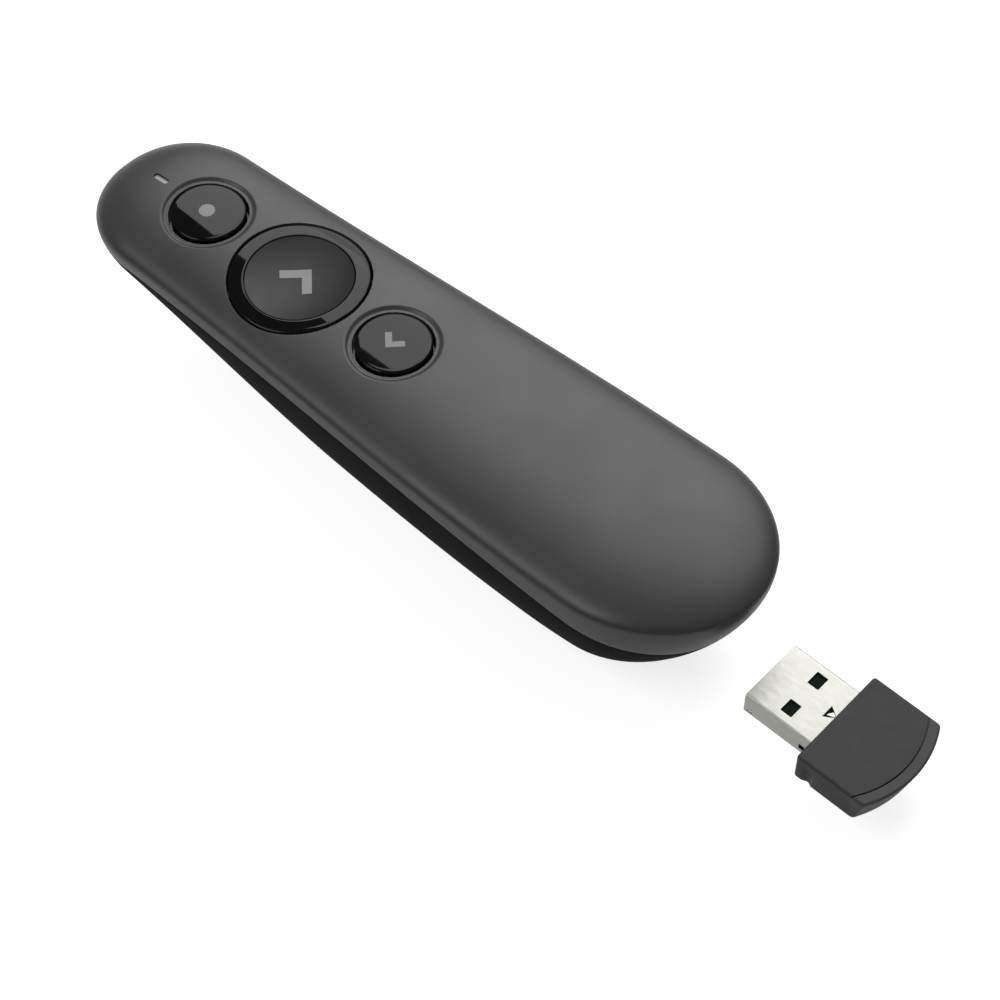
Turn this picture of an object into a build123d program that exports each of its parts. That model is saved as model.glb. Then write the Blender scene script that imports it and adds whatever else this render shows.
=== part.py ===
"""Wireless presentation clicker with a laser pointer and a stowable USB receiver.

Millimetres. +Y is the way the laser points, +X is the holder's right and +Z is up.
The origin lies on the flat foot of the belly, half way along the handset.
The receiver is drawn out behind the tail; its slide joint stows it.
"""
import os
from math import cos, pi, sin

from build123d import *

os.makedirs("parts", exist_ok=True)

# ---- casing lines: values at four stations, tail to nose, joined by smooth curves
length = 136.3
tail_y, nose_y = -length / 2, length / 2
palm_y, thumb_y = -25.0, 20.0
stations = (tail_y, palm_y, thumb_y, nose_y)
half_widths = (17.7, 18.25, 15.95, 14.75)
crown_heights = (28.3, 25.75, 23.85, 23.0)
widest_heights = (24.85, 21.9, 20.55, 18.05)
seam_heights = (17.3, 19.35, 18.35, 17.3)

tail_rounding = 21.5
nose_rounding = 15.2
plan_power = 2.05
tail_under_power = 1.8
nose_under_power = 2.0
top_power = 2.15
belly_power = 2.6
belly_power_drop = 0.6

keel_trim = 0.35
foot_rear_y, foot_front_y = tail_y + 30.15, tail_y + 73.15
tail_rise = 6.0
nose_rise = 15.0
rise_power = 1.7

end_sections = 8
middle_sections = 10
cavity_end_sections = 5
cavity_middle_sections = 5
end_turn_share = 0.3
arcs_in_quarter = 3
flats_in_quarter = 4

wall = 1.8
seam_gap = 0.16

# ---- fits
slip = 0.06
part_gap = 0.15
air = 0.3

# ---- controls on the crown
button_pitch = 21.0
laser_button_y = nose_y - 20.85
next_button_y = laser_button_y - button_pitch
back_button_y = next_button_y - button_pitch
small_button_radius = 6.22
small_opening_radius = 6.7
small_dish_radius = 7.75
small_dish_depth = 0.55
small_flange_radius = 7.5
small_flange_drop = 0.5
next_button_radius = 11.6
next_opening_radius = 11.9
next_flange_radius = 12.7
next_flange_drop = 0.95
next_pad_radius = 8.95
next_pad_depth = 1.35
pad_thickness = 1.1
flange_thickness = 0.6
button_edge = 0.2
stem_radius = 1.6
small_travel = 0.5
next_travel = 0.6

# ---- electronics
board_top = 16.2
board_thickness = 1.0
board_rear_y, board_front_y = tail_y + 46.15, nose_y - 8.15
board_rear_half, board_front_half = 12.6, 5.8
switch_side = 4.8
switch_height = 1.6
switch_floor = 0.2
plunger_radius = 1.0
plunger_stand = 0.6
plunger_length = 1.1
boss_radius = 2.0
screw_radius = 0.85
screw_head_radius = 1.6
screw_head_height = 0.9
screw_reach = 3.0
rear_screw_x, rear_screw_y = 10.4, tail_y + 53.15
front_screw_x, front_screw_y = 9.6, nose_y - 29.55
screw_places = (
    (-rear_screw_x, rear_screw_y),
    (rear_screw_x, rear_screw_y),
    (-front_screw_x, front_screw_y),
    (front_screw_x, front_screw_y),
)
post_radius = 1.5
side_post_x, side_post_y = 9.4, tail_y + 82.15
nose_post_y = nose_y - 28.15
post_places = ((-side_post_x, side_post_y), (side_post_x, side_post_y), (0, nose_post_y))
chip_side, chip_height = 5.0, 0.8
chip_y = board_rear_y + 10.0
crystal_length, crystal_width, crystal_height = 5.0, 1.9, 1.2
crystal_x, crystal_y = 7.2, board_rear_y + 17.0
chip_part_length, chip_part_width, chip_part_height = 1.6, 0.8, 0.8
chip_part_pitch = 2.3
bank_x, bank_y = -7.0, board_rear_y + 16.0
row_x, row_y = 6.5, back_button_y + 8.7
rear_row_y = board_rear_y + 4.0

# ---- laser and status light
laser_z = 18.05
barrel_radius = 1.7
barrel_rear_y, barrel_front_y = nose_y - 15.15, nose_y - 6.95
diode_radius = 1.4
diode_length = 1.8
bezel_radius = 2.1
bezel_bore = 1.4
window_thickness = 0.8
window_recess = 1.1
light_slot_y = nose_y - 9.55
light_slot_length = 3.3
light_slot_width = 1.1
light_recess = 0.4
pipe_arm_height = 0.6
pipe_arm_width = 1.6
led_x = 4.1
led_length, led_width, led_height = 1.6, 0.8, 0.6

# ---- battery bay
cell_radius = 5.25
cell_length = 43.5
cell_nub_radius = 1.9
cell_nub_length = 1.0
cell_z = 8.3
cell_rear_y = tail_y + 41.65
cell_edge = 0.4
bay_clearance = 0.3
tray_wall = 1.1
contact_thickness = 0.35
contact_width, contact_height = 6.8, 6.6
contact_tab_width = 2.0
spring_depth = 2.6
spring_width = 5.0
door_half_width = 7.5
door_rear_y, door_front_y = cell_rear_y - 3.0, cell_rear_y + cell_length + 0.4
door_top = 2.4
tongue_x, tongue_width = 4.6, 3.0
tongue_reach, tongue_root = 1.1, 2.2
tongue_height = 0.9
catch_width, catch_length, catch_depth = 9.0, 3.2, 0.8

# ---- receiver, drawn out
plug_width, plug_height = 12.0, 4.5
plug_sheet = 0.3
plug_tip_y = tail_y - 4.3
plug_length = 12.4
plug_root = 2.4
plug_z = 9.2
plug_corner = 0.6
window_length, window_width = 2.0, 2.5
window_inset, window_offset = 6.5, 3.2
card_thickness = 1.9
card_depth = 8.0
finger_width, finger_length, finger_thickness = 1.2, 7.6, 0.12
finger_pitch = 2.4
finger_setback = 0.8
cap_width, cap_height = 18.7, 5.7
cap_side_length = 11.5
cap_sagitta = 3.6
cap_edge = 0.5
cap_hollow_height = 3.9
cap_groove_inset = 1.95
cap_groove_width = 0.26
cap_groove_depth = 0.2
notch_start, notch_length, notch_depth = 1.0, 2.6, 0.5
receiver_chip_side, receiver_chip_height = 3.4, 0.7
receiver_travel = 39.0
dock_wall = 1.0
pocket_clearance = 0.3
detent_radius = 0.6
detent_reach = 0.25


# ---------------------------------------------------------------- casing form
def along(values, y):
    """The smooth curve through one value at each station."""
    total = 0.0
    for own, value in zip(stations, values):
        share = value
        for other in stations:
            if other != own:
                share *= (y - other) / (own - other)
        total += share
    return total


def rounding(y, tail_power, nose_power, inset=0.0):
    """Falls from 1 to 0 where the casing closes at its tail and its nose."""
    tail_reach = tail_rounding - inset
    nose_reach = nose_rounding - inset
    into_tail = max(0.0, (tail_y + tail_rounding - y) / tail_reach)
    into_nose = max(0.0, (y - nose_y + nose_rounding) / nose_reach)
    tail_part = max(0.0, 1 - into_tail**tail_power) ** (1 / tail_power)
    nose_part = max(0.0, 1 - into_nose**nose_power) ** (1 / nose_power)
    return tail_part * nose_part


def keel(y):
    """Lowest line of the casing: level under the palm, rising to both ends."""
    if y > foot_front_y:
        rise = nose_rise * ((y - foot_front_y) / (nose_y - foot_front_y)) ** rise_power
    elif y < foot_rear_y:
        rise = tail_rise * ((foot_rear_y - y) / (foot_rear_y - tail_y)) ** rise_power
    else:
        rise = 0.0
    return rise - keel_trim


def section_sizes(y, inset=0.0):
    """Half width, widest height, rise above it and depth below it at one place."""
    plan = rounding(y, plan_power, plan_power, inset)
    under = rounding(y, tail_under_power, nose_under_power, inset)
    widest = along(widest_heights, y)
    half = (along(half_widths, y) - inset) * plan
    rise = (along(crown_heights, y) - widest - inset) * plan
    depth = (widest - keel(y) - inset) * under
    return half, widest, rise, depth


def crown_at(y):
    half, widest, rise, depth = section_sizes(y)
    return widest + rise


def underside_at(y):
    half, widest, rise, depth = section_sizes(y)
    return widest - depth


def quarter(y, inset, pieces, side):
    """Points round one quarter of the section, from its widest point to the middle."""
    half, widest, rise, depth = section_sizes(y, inset)
    power, reach = top_power, rise
    if side < 0:
        power, reach = belly_power - belly_power_drop * (y / nose_y) ** 2, depth
    turns = [pi / 2 * step / pieces for step in range(pieces)]
    points = [
        (half * cos(turn) ** (2 / power), widest + side * reach * sin(turn) ** (2 / power))
        for turn in turns
    ]
    return points + [(0, widest + side * reach)]


def outer_section(y):
    """One closed cross-section of the casing: a superellipse drawn in short arcs."""
    with BuildLine(Plane.XZ.offset(-y)) as outline:
        for side in (1, -1):
            points = quarter(y, 0, 2 * arcs_in_quarter, side)
            for start in range(0, 2 * arcs_in_quarter, 2):
                ThreePointArc(*points[start : start + 3])
        mirror(about=Plane.YZ)
    return Face(Wire(outline.edges()))


def cavity_section(y):
    """One closed cross-section of the hollow inside the walls, drawn in flats."""
    with BuildLine(Plane.XZ.offset(-y)) as outline:
        for side in (1, -1):
            Polyline(*quarter(y, wall, flats_in_quarter, side))
        mirror(about=Plane.YZ)
    return Face(Wire(outline.edges()))


def section_places(inset, round_ends, between):
    """Where the sections stand: equal turns round both ends, equal steps between."""
    rear, front = tail_y + tail_rounding, nose_y - nose_rounding
    turns = [pi / 2 * (place + end_turn_share) / round_ends for place in range(round_ends)]
    tail = [rear - (tail_rounding - inset) * cos(turn) for turn in turns]
    middle = [rear + (front - rear) * step / between for step in range(between + 1)]
    nose = [front + (nose_rounding - inset) * cos(turn) for turn in reversed(turns)]
    return tail + middle + nose


with BuildPart() as casing:
    loft(
        [outer_section(y) for y in section_places(0, end_sections, middle_sections)],
        ruled=True,
        clean=False,
    )

with BuildPart() as cavity:
    loft(
        [
            cavity_section(y)
            for y in section_places(wall, cavity_end_sections, cavity_middle_sections)
        ],
        ruled=True,
        clean=False,
    )

casing_form = casing.part
cavity_form = cavity.part


def side_region(shift, level):
    """All that lies between the shifted seam line and a level, right across."""
    overrun = 5.0
    places = (tail_y - overrun, palm_y, (palm_y + thumb_y) / 2, thumb_y, nose_y + overrun)
    line = [(y, along(seam_heights, y) + shift) for y in places]
    with BuildPart() as region:
        with BuildSketch(Plane.YZ):
            with BuildLine():
                Spline(*line)
                Polyline(line[-1], (line[-1][0], level), (line[0][0], level), line[0])
            make_face()
        extrude(amount=max(half_widths) + overrun, both=True)
    return region.part


def crown_patch(y, reach, drop=0.0):
    """Solid under the part of the crown round a control: arched across, level with the slope."""
    crown = crown_at(y)
    slope = (crown_at(y + reach) - crown_at(y - reach)) / (2 * reach)
    half, widest, rise, depth = section_sizes(y)
    fall = rise - rise * (1 - (reach / half) ** top_power) ** (1 / top_power)
    across = Plane(origin=(0, y, crown - drop), x_dir=(-1, 0, 0), z_dir=(0, 1, slope))
    with BuildPart() as patch:
        with BuildSketch(across):
            with BuildLine():
                ThreePointArc((-reach, -fall), (0, 0), (reach, -fall))
                Polyline((reach, -fall), (reach, -crown), (-reach, -crown), (-reach, -fall))
            make_face()
        extrude(amount=2 * reach, both=True)
    return patch.part


# ---------------------------------------------------------------- upper shell
board_bottom = board_top - board_thickness
ceiling_reach = max(crown_heights) + wall
bezel_rear_y = barrel_front_y


def control_dish(y):
    """Shallow dish round a small button: its floor follows the crown."""
    crown = crown_at(y)
    with BuildPart() as dish:
        with Locations((0, y, crown)):
            Cone(
                small_dish_radius - 2 * small_dish_depth,
                small_dish_radius + 2 * small_dish_depth,
                4 * small_dish_depth,
            )
        add(crown_patch(y, small_dish_radius + small_dish_depth, small_dish_depth), mode=Mode.SUBTRACT)
    return dish.part


def bosses():
    """Screw bosses from the ceiling of the upper shell down to the board."""
    with BuildPart() as pillars:
        with BuildSketch(Plane.XY.offset(board_top)):
            with Locations(*screw_places):
                Circle(boss_radius)
        extrude(amount=ceiling_reach - board_top)
        add(casing_form, mode=Mode.INTERSECT)
    return pillars.part


with BuildPart() as upper_shell:
    add(casing_form)
    add(cavity_form, mode=Mode.SUBTRACT)
    add(side_region(seam_gap / 2, ceiling_reach), mode=Mode.INTERSECT)
    add(bosses())
    for y in (laser_button_y, back_button_y):
        add(control_dish(y), mode=Mode.SUBTRACT)
    with BuildSketch(Plane.XY.offset(board_top + switch_height)):
        with Locations((0, laser_button_y), (0, back_button_y)):
            Circle(small_opening_radius)
        with Locations((0, next_button_y)):
            Circle(next_opening_radius)
        with Locations((0, light_slot_y)):
            SlotOverall(light_slot_length, light_slot_width, rotation=90)
    extrude(amount=ceiling_reach, mode=Mode.SUBTRACT)
    with BuildSketch(Plane.XY.offset(board_top)):
        with Locations(*screw_places):
            Circle(screw_radius + slip)
    extrude(amount=screw_reach + part_gap, mode=Mode.SUBTRACT)
    with BuildSketch(Plane.XZ.offset(-bezel_rear_y)):
        with Locations((0, laser_z)):
            Circle(bezel_radius + slip)
    extrude(amount=bezel_rear_y - nose_y - wall, mode=Mode.SUBTRACT)

upper_shell.part.label = "upper_shell"
export_step(upper_shell.part, "parts/upper_shell.step")


# ---------------------------------------------------------------- receiver sizes
plug_bottom = plug_z - plug_height / 2
plug_top = plug_z + plug_height / 2
cap_front_y = plug_tip_y - plug_length
cap_side_end_y = cap_front_y - cap_side_length
cap_end_y = cap_side_end_y - cap_sagitta
cap_end_radius = (cap_width**2 / 4 + cap_sagitta**2) / (2 * cap_sagitta)
cap_bottom = plug_z - cap_height / 2
pocket_half = cap_width / 2 + pocket_clearance
pocket_front_y = cap_front_y + receiver_travel + pocket_clearance
plug_pocket_half = plug_width / 2 + pocket_clearance
plug_pocket_front_y = plug_tip_y + receiver_travel + pocket_clearance
dock_front_y = plug_pocket_front_y + dock_wall
dock_rear_y = tail_y - air


def dock_block(grow):
    """The dock's outer form: wide round the cap, narrow round the plug."""
    cap_tall = cap_height + 2 * (pocket_clearance + dock_wall + grow)
    plug_tall = plug_height + 2 * (pocket_clearance + dock_wall + grow)
    step_y = pocket_front_y + dock_wall + grow
    with BuildPart() as block:
        with BuildSketch(Plane.XZ.offset(-dock_rear_y)):
            with Locations((0, plug_z)):
                RectangleRounded(2 * (pocket_half + dock_wall + grow), cap_tall, dock_wall)
        extrude(amount=dock_rear_y - step_y)
        with BuildSketch(Plane.XZ.offset(-dock_rear_y)):
            with Locations((0, plug_z)):
                Rectangle(2 * (plug_pocket_half + dock_wall + grow), plug_tall)
        extrude(amount=dock_rear_y - dock_front_y - grow)
    return block.part


# ---------------------------------------------------------------- lower shell
tray_half = cell_radius + bay_clearance + tray_wall
door_gap_half = door_half_width + part_gap

with BuildPart() as lower_shell:
    add(casing_form)
    add(cavity_form, mode=Mode.SUBTRACT)
    add(side_region(-seam_gap / 2, -ceiling_reach), mode=Mode.INTERSECT)
    with BuildSketch():
        with Locations(*post_places):
            Circle(post_radius)
    extrude(amount=board_bottom)
    add(casing_form, mode=Mode.INTERSECT)
    with BuildSketch():
        Rectangle(2 * length, 2 * length)
    extrude(amount=-ceiling_reach, mode=Mode.SUBTRACT)
    with BuildSketch():
        with Locations((0, (door_rear_y + door_front_y) / 2)):
            Rectangle(2 * door_gap_half, door_front_y - door_rear_y + 2 * part_gap)
    extrude(amount=board_bottom, mode=Mode.SUBTRACT)
    with BuildSketch(Plane.XY.offset(door_top)):
        with Locations((-tongue_x, door_front_y), (tongue_x, door_front_y)):
            Rectangle(tongue_width + 2 * air, 2 * (tongue_reach + air))
    extrude(amount=board_bottom - door_top, mode=Mode.SUBTRACT)
    add(dock_block(slip), mode=Mode.SUBTRACT)
    with BuildSketch(Plane.XZ.offset(-bezel_rear_y)):
        with Locations((0, laser_z)):
            Circle(bezel_radius + slip)
    extrude(amount=bezel_rear_y - nose_y - wall, mode=Mode.SUBTRACT)

lower_shell.part.label = "lower_shell"
export_step(lower_shell.part, "parts/lower_shell.step")

# ---------------------------------------------------------------- battery door
hinge_z = underside_at(door_front_y)

with BuildPart() as battery_door:
    with BuildSketch():
        with Locations((0, (door_rear_y + door_front_y) / 2)):
            Rectangle(2 * door_half_width, door_front_y - door_rear_y)
    extrude(amount=door_top)
    add(casing_form, mode=Mode.INTERSECT)
    with BuildSketch(Plane.XY.offset(door_top)):
        with Locations((-tongue_x, door_front_y), (tongue_x, door_front_y)):
            Rectangle(tongue_width, 2 * tongue_reach)
    extrude(amount=tongue_height)
    with BuildSketch():
        with Locations((0, door_rear_y + catch_length)):
            SlotOverall(catch_width, catch_length)
    extrude(amount=catch_depth, mode=Mode.SUBTRACT)

battery_door.part.label = "battery_door"
export_step(battery_door.part, "parts/battery_door.step")

# ---------------------------------------------------------------- battery tray
cell_front_y = cell_rear_y + cell_length
plate_rear_y = cell_front_y + cell_nub_length
plate_front_y = plate_rear_y + contact_thickness
tray_front_y = plate_front_y + tray_wall
spring_rear_y = cell_rear_y - spring_depth
tray_rear_y = spring_rear_y - tray_wall
tray_ceiling = cell_z + cell_radius + bay_clearance
tray_top = tray_ceiling + tray_wall
tray_floor = door_top + tongue_height + 2 * air
contact_bottom = cell_z - contact_height / 2
bay_half = cell_radius + bay_clearance

with BuildPart() as battery_tray:
    with BuildSketch(Plane.XZ.offset(-tray_rear_y)) as arch:
        with Locations((0, tray_floor)):
            Rectangle(2 * tray_half, tray_top - tray_floor, align=(Align.CENTER, Align.MIN))
        fillet(arch.vertices().group_by(Axis.Z)[-1], bay_half / 2)
    extrude(amount=tray_rear_y - tray_front_y)
    with BuildSketch(Plane.XZ.offset(-spring_rear_y)):
        with Locations((0, cell_z)):
            Circle(bay_half)
        with Locations((0, tray_floor)):
            Rectangle(2 * bay_half, cell_z - tray_floor, align=(Align.CENTER, Align.MIN))
    extrude(amount=spring_rear_y - plate_front_y, mode=Mode.SUBTRACT)
    with BuildSketch(Plane.XY.offset(cell_z)):
        with Locations((0, plate_rear_y + contact_thickness / 2)):
            Rectangle(contact_tab_width + 2 * slip, contact_thickness + 2 * slip)
    extrude(amount=tray_top, mode=Mode.SUBTRACT)

battery_tray.part.label = "battery_tray"
export_step(battery_tray.part, "parts/battery_tray.step")

# ---------------------------------------------------------------- battery
with BuildPart() as aaa_battery:
    with BuildSketch(Plane.XZ.offset(-cell_rear_y)):
        with Locations((0, cell_z)):
            Circle(cell_radius)
    extrude(amount=-cell_length)
    chamfer(aaa_battery.edges().filter_by(GeomType.CIRCLE), cell_edge)
    with BuildSketch(Plane.XZ.offset(-cell_front_y)):
        with Locations((0, cell_z)):
            Circle(cell_nub_radius)
    extrude(amount=-cell_nub_length)

aaa_battery.part.label = "aaa_battery"
export_step(aaa_battery.part, "parts/aaa_battery.step")

# ---------------------------------------------------------------- battery contacts
with BuildPart() as battery_contact_plate:
    with BuildSketch(Plane.XZ.offset(-plate_rear_y)):
        with Locations((0, cell_z)):
            Rectangle(contact_width, contact_height)
        with Locations((0, cell_z)):
            Rectangle(
                contact_tab_width, board_bottom - cell_z, align=(Align.CENTER, Align.MIN)
            )
    extrude(amount=-contact_thickness)

battery_contact_plate.part.label = "battery_contact_plate"
export_step(battery_contact_plate.part, "parts/battery_contact_plate.step")

with BuildPart() as battery_contact_spring:
    leaf_back_y = spring_rear_y + contact_thickness / 2
    leaf_tip_y = cell_rear_y - air - contact_thickness / 2
    leaf_top = cell_z + contact_height / 2
    with BuildSketch(Plane.YZ):
        with BuildLine():
            FilletPolyline(
                (leaf_back_y, leaf_top),
                (leaf_back_y, contact_bottom),
                (leaf_back_y + spring_depth / 2, contact_bottom),
                (leaf_tip_y, cell_z),
                (leaf_back_y + spring_depth / 2, leaf_top),
                radius=contact_thickness,
            )
        trace(line_width=contact_thickness)
    extrude(amount=spring_width / 2, both=True)

battery_contact_spring.part.label = "battery_contact_spring"
export_step(battery_contact_spring.part, "parts/battery_contact_spring.step")


# ---------------------------------------------------------------- buttons
plunger_top = board_top + switch_height + plunger_stand


def flange_top(y, drop):
    return crown_at(y) - wall - drop


def button_form(y, radius, flange_radius, drop):
    """A key cap whose face follows the crown, with its flange and stem below."""
    top = flange_top(y, drop)
    with BuildPart() as button:
        with BuildSketch(Plane.XY.offset(top)):
            with Locations((0, y)):
                Circle(radius)
        extrude(amount=ceiling_reach - top)
        add(crown_patch(y, radius), mode=Mode.INTERSECT)
        chamfer(button.edges().sort_by(Axis.Z)[-1], button_edge)
        with BuildSketch(Plane.XY.offset(top)):
            with Locations((0, y)):
                Circle(flange_radius)
        extrude(amount=-flange_thickness)
        with BuildSketch(Plane.XY.offset(plunger_top)):
            with Locations((0, y)):
                Circle(stem_radius)
        extrude(amount=top - plunger_top)
    return button.part


with BuildPart() as laser_button:
    add(button_form(laser_button_y, small_button_radius, small_flange_radius, small_flange_drop))

laser_button.part.label = "laser_button"
export_step(laser_button.part, "parts/laser_button.step")

with BuildPart() as back_button:
    add(button_form(back_button_y, small_button_radius, small_flange_radius, small_flange_drop))

back_button.part.label = "back_button"
export_step(back_button.part, "parts/back_button.step")

pad_floor = crown_at(next_button_y) - next_pad_depth - pad_thickness

with BuildPart() as next_button:
    add(button_form(next_button_y, next_button_radius, next_flange_radius, next_flange_drop))
    with BuildSketch(Plane.XY.offset(pad_floor)):
        with Locations((0, next_button_y)):
            Circle(next_pad_radius + slip)
    extrude(amount=ceiling_reach, mode=Mode.SUBTRACT)

next_button.part.label = "next_button"
export_step(next_button.part, "parts/next_button.step")


def thumb_hollow():
    """Roller that lies across the pad: it dips to the pad's depth and ends at its rim."""
    radius = (next_pad_radius**2 + next_pad_depth**2) / (2 * next_pad_depth)
    with BuildPart() as roller:
        with BuildSketch(Plane.YZ):
            with Locations((next_button_y, crown_at(next_button_y) - next_pad_depth + radius)):
                Circle(radius)
        extrude(amount=next_opening_radius, both=True)
    return roller.part


with BuildPart() as next_button_pad:
    with BuildSketch(Plane.XY.offset(pad_floor)):
        with Locations((0, next_button_y)):
            Circle(next_pad_radius)
    extrude(amount=next_pad_depth + pad_thickness)
    add(crown_patch(next_button_y, next_button_radius), mode=Mode.INTERSECT)
    add(thumb_hollow(), mode=Mode.SUBTRACT)

next_button_pad.part.label = "next_button_pad"
export_step(next_button_pad.part, "parts/next_button_pad.step")


def plunger(y):
    with BuildPart() as pin:
        with BuildSketch(Plane.XY.offset(plunger_top)):
            with Locations((0, y)):
                Circle(plunger_radius)
        extrude(amount=-plunger_length)
    return pin.part


with BuildPart() as laser_plunger:
    add(plunger(laser_button_y))

laser_plunger.part.label = "laser_plunger"
export_step(laser_plunger.part, "parts/laser_plunger.step")

with BuildPart() as next_plunger:
    add(plunger(next_button_y))

next_plunger.part.label = "next_plunger"
export_step(next_plunger.part, "parts/next_plunger.step")

with BuildPart() as back_plunger:
    add(plunger(back_button_y))

back_plunger.part.label = "back_plunger"
export_step(back_plunger.part, "parts/back_plunger.step")

# ---------------------------------------------------------------- board
control_places = [(0, laser_button_y), (0, next_button_y), (0, back_button_y)]

with BuildPart() as main_board:
    with BuildSketch(Plane.XY.offset(board_bottom)) as outline:
        with BuildLine():
            Polyline(
                (-board_rear_half, board_rear_y),
                (board_rear_half, board_rear_y),
                (board_rear_half, thumb_y),
                (board_front_half, board_front_y),
                (-board_front_half, board_front_y),
                (-board_rear_half, thumb_y),
                close=True,
            )
        make_face()
        fillet(outline.vertices(), 1)
        with Locations(*screw_places):
            Circle(screw_radius + slip, mode=Mode.SUBTRACT)
    extrude(amount=board_thickness)

main_board.part.label = "main_board"
export_step(main_board.part, "parts/main_board.step")

with BuildPart() as tact_switches:
    with BuildSketch(Plane.XY.offset(board_top)):
        with Locations(*control_places):
            Rectangle(switch_side, switch_side)
    extrude(amount=switch_height)
    with BuildSketch(Plane.XY.offset(board_top + switch_floor)):
        with Locations(*control_places):
            Circle(plunger_radius + slip)
    extrude(amount=switch_height, mode=Mode.SUBTRACT)

tact_switches.part.label = "tact_switches"
export_step(tact_switches.part, "parts/tact_switches.step")

with BuildPart() as radio_chip:
    with BuildSketch(Plane.XY.offset(board_top)):
        with Locations((0, chip_y)):
            Rectangle(chip_side, chip_side)
    extrude(amount=chip_height)
    chamfer(radio_chip.edges().group_by(Axis.Z)[-1], chip_height / 8)

radio_chip.part.label = "radio_chip"
export_step(radio_chip.part, "parts/radio_chip.step")

with BuildPart() as crystal_can:
    with BuildSketch(Plane.XY.offset(board_top)):
        with Locations((crystal_x, crystal_y)):
            SlotOverall(crystal_length, crystal_width, rotation=90)
    extrude(amount=crystal_height)
    chamfer(crystal_can.edges().group_by(Axis.Z)[-1], crystal_height / 6)

crystal_can.part.label = "crystal_can"
export_step(crystal_can.part, "parts/crystal_can.step")

with BuildPart() as board_parts:
    with BuildSketch(Plane.XY.offset(board_top)):
        with Locations((bank_x, bank_y)):
            with GridLocations(chip_part_pitch, chip_part_pitch, 2, 4):
                Rectangle(chip_part_length, chip_part_width)
        with Locations((row_x, row_y)):
            with GridLocations(chip_part_pitch, chip_part_pitch, 1, 3):
                Rectangle(chip_part_length, chip_part_width)
        with Locations((0, rear_row_y)):
            with GridLocations(chip_part_pitch, chip_part_pitch, 4, 1):
                Rectangle(chip_part_width, chip_part_length)
    extrude(amount=chip_part_height)

board_parts.part.label = "board_parts"
export_step(board_parts.part, "parts/board_parts.step")

with BuildPart() as case_screws:
    with BuildSketch(Plane.XY.offset(board_bottom)):
        with Locations(*screw_places):
            Circle(screw_head_radius)
    extrude(amount=-screw_head_height)
    with BuildSketch(Plane.XY.offset(board_bottom)):
        with Locations(*screw_places):
            Circle(screw_radius)
    extrude(amount=board_thickness + screw_reach)

case_screws.part.label = "case_screws"
export_step(case_screws.part, "parts/case_screws.step")

# ---------------------------------------------------------------- laser and status light
with BuildPart() as laser_barrel:
    with BuildSketch(Plane.XZ.offset(-barrel_rear_y)):
        with Locations((0, laser_z)):
            Circle(barrel_radius)
    extrude(amount=barrel_rear_y - barrel_front_y)
    with BuildSketch(Plane.XZ.offset(-barrel_front_y)):
        with Locations((0, laser_z)):
            Circle(bezel_bore)
    extrude(amount=window_recess, mode=Mode.SUBTRACT)
    chamfer(laser_barrel.edges().group_by(Axis.Y)[-1].sort_by(SortBy.RADIUS)[-1], slip)

laser_barrel.part.label = "laser_barrel"
export_step(laser_barrel.part, "parts/laser_barrel.step")

with BuildPart() as laser_diode:
    with BuildSketch(Plane.XZ.offset(-barrel_rear_y)):
        with Locations((0, laser_z)):
            Circle(diode_radius)
    extrude(amount=diode_length)

laser_diode.part.label = "laser_diode"
export_step(laser_diode.part, "parts/laser_diode.step")

with BuildPart() as laser_bezel:
    with BuildSketch(Plane.XZ.offset(-bezel_rear_y)):
        with Locations((0, laser_z)):
            Circle(bezel_radius)
            Circle(bezel_bore, mode=Mode.SUBTRACT)
    extrude(amount=bezel_rear_y - nose_y)
    add(casing_form, mode=Mode.INTERSECT)

laser_bezel.part.label = "laser_bezel"
export_step(laser_bezel.part, "parts/laser_bezel.step")

with BuildPart() as laser_window:
    with BuildSketch(Plane.XZ.offset(window_recess - nose_y)):
        with Locations((0, laser_z)):
            Circle(bezel_bore - slip)
    extrude(amount=window_thickness)

laser_window.part.label = "laser_window"
export_step(laser_window.part, "parts/laser_window.step")

with BuildPart() as status_led:
    with BuildSketch(Plane.XY.offset(board_top)):
        with Locations((led_x, light_slot_y)):
            Rectangle(led_length, led_width)
    extrude(amount=led_height)

status_led.part.label = "status_led"
export_step(status_led.part, "parts/status_led.step")

arm_bottom = laser_z + barrel_radius + part_gap

with BuildPart() as led_light_pipe:
    with BuildSketch(Plane.XY.offset(arm_bottom)):
        with Locations((0, light_slot_y)):
            SlotOverall(light_slot_length - 2 * slip, light_slot_width - 2 * slip, rotation=90)
    extrude(amount=ceiling_reach - arm_bottom)
    add(casing_form.moved(Location((0, 0, -light_recess))), mode=Mode.INTERSECT)
    with BuildSketch(Plane.XY.offset(arm_bottom)):
        with Locations((led_x / 2, light_slot_y)):
            Rectangle(led_x + led_length, pipe_arm_width)
    extrude(amount=pipe_arm_height)
    with BuildSketch(Plane.XY.offset(board_top + led_height + part_gap)):
        with Locations((led_x, light_slot_y)):
            Rectangle(led_length, pipe_arm_width)
    extrude(until=Until.NEXT)

led_light_pipe.part.label = "led_light_pipe"
export_step(led_light_pipe.part, "parts/led_light_pipe.step")

# ---------------------------------------------------------------- receiver
card_top = plug_top - plug_sheet - slip
card_bottom = card_top - card_thickness
card_half = plug_width / 2 - plug_sheet - part_gap
card_rear_y = cap_front_y - card_depth

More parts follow.
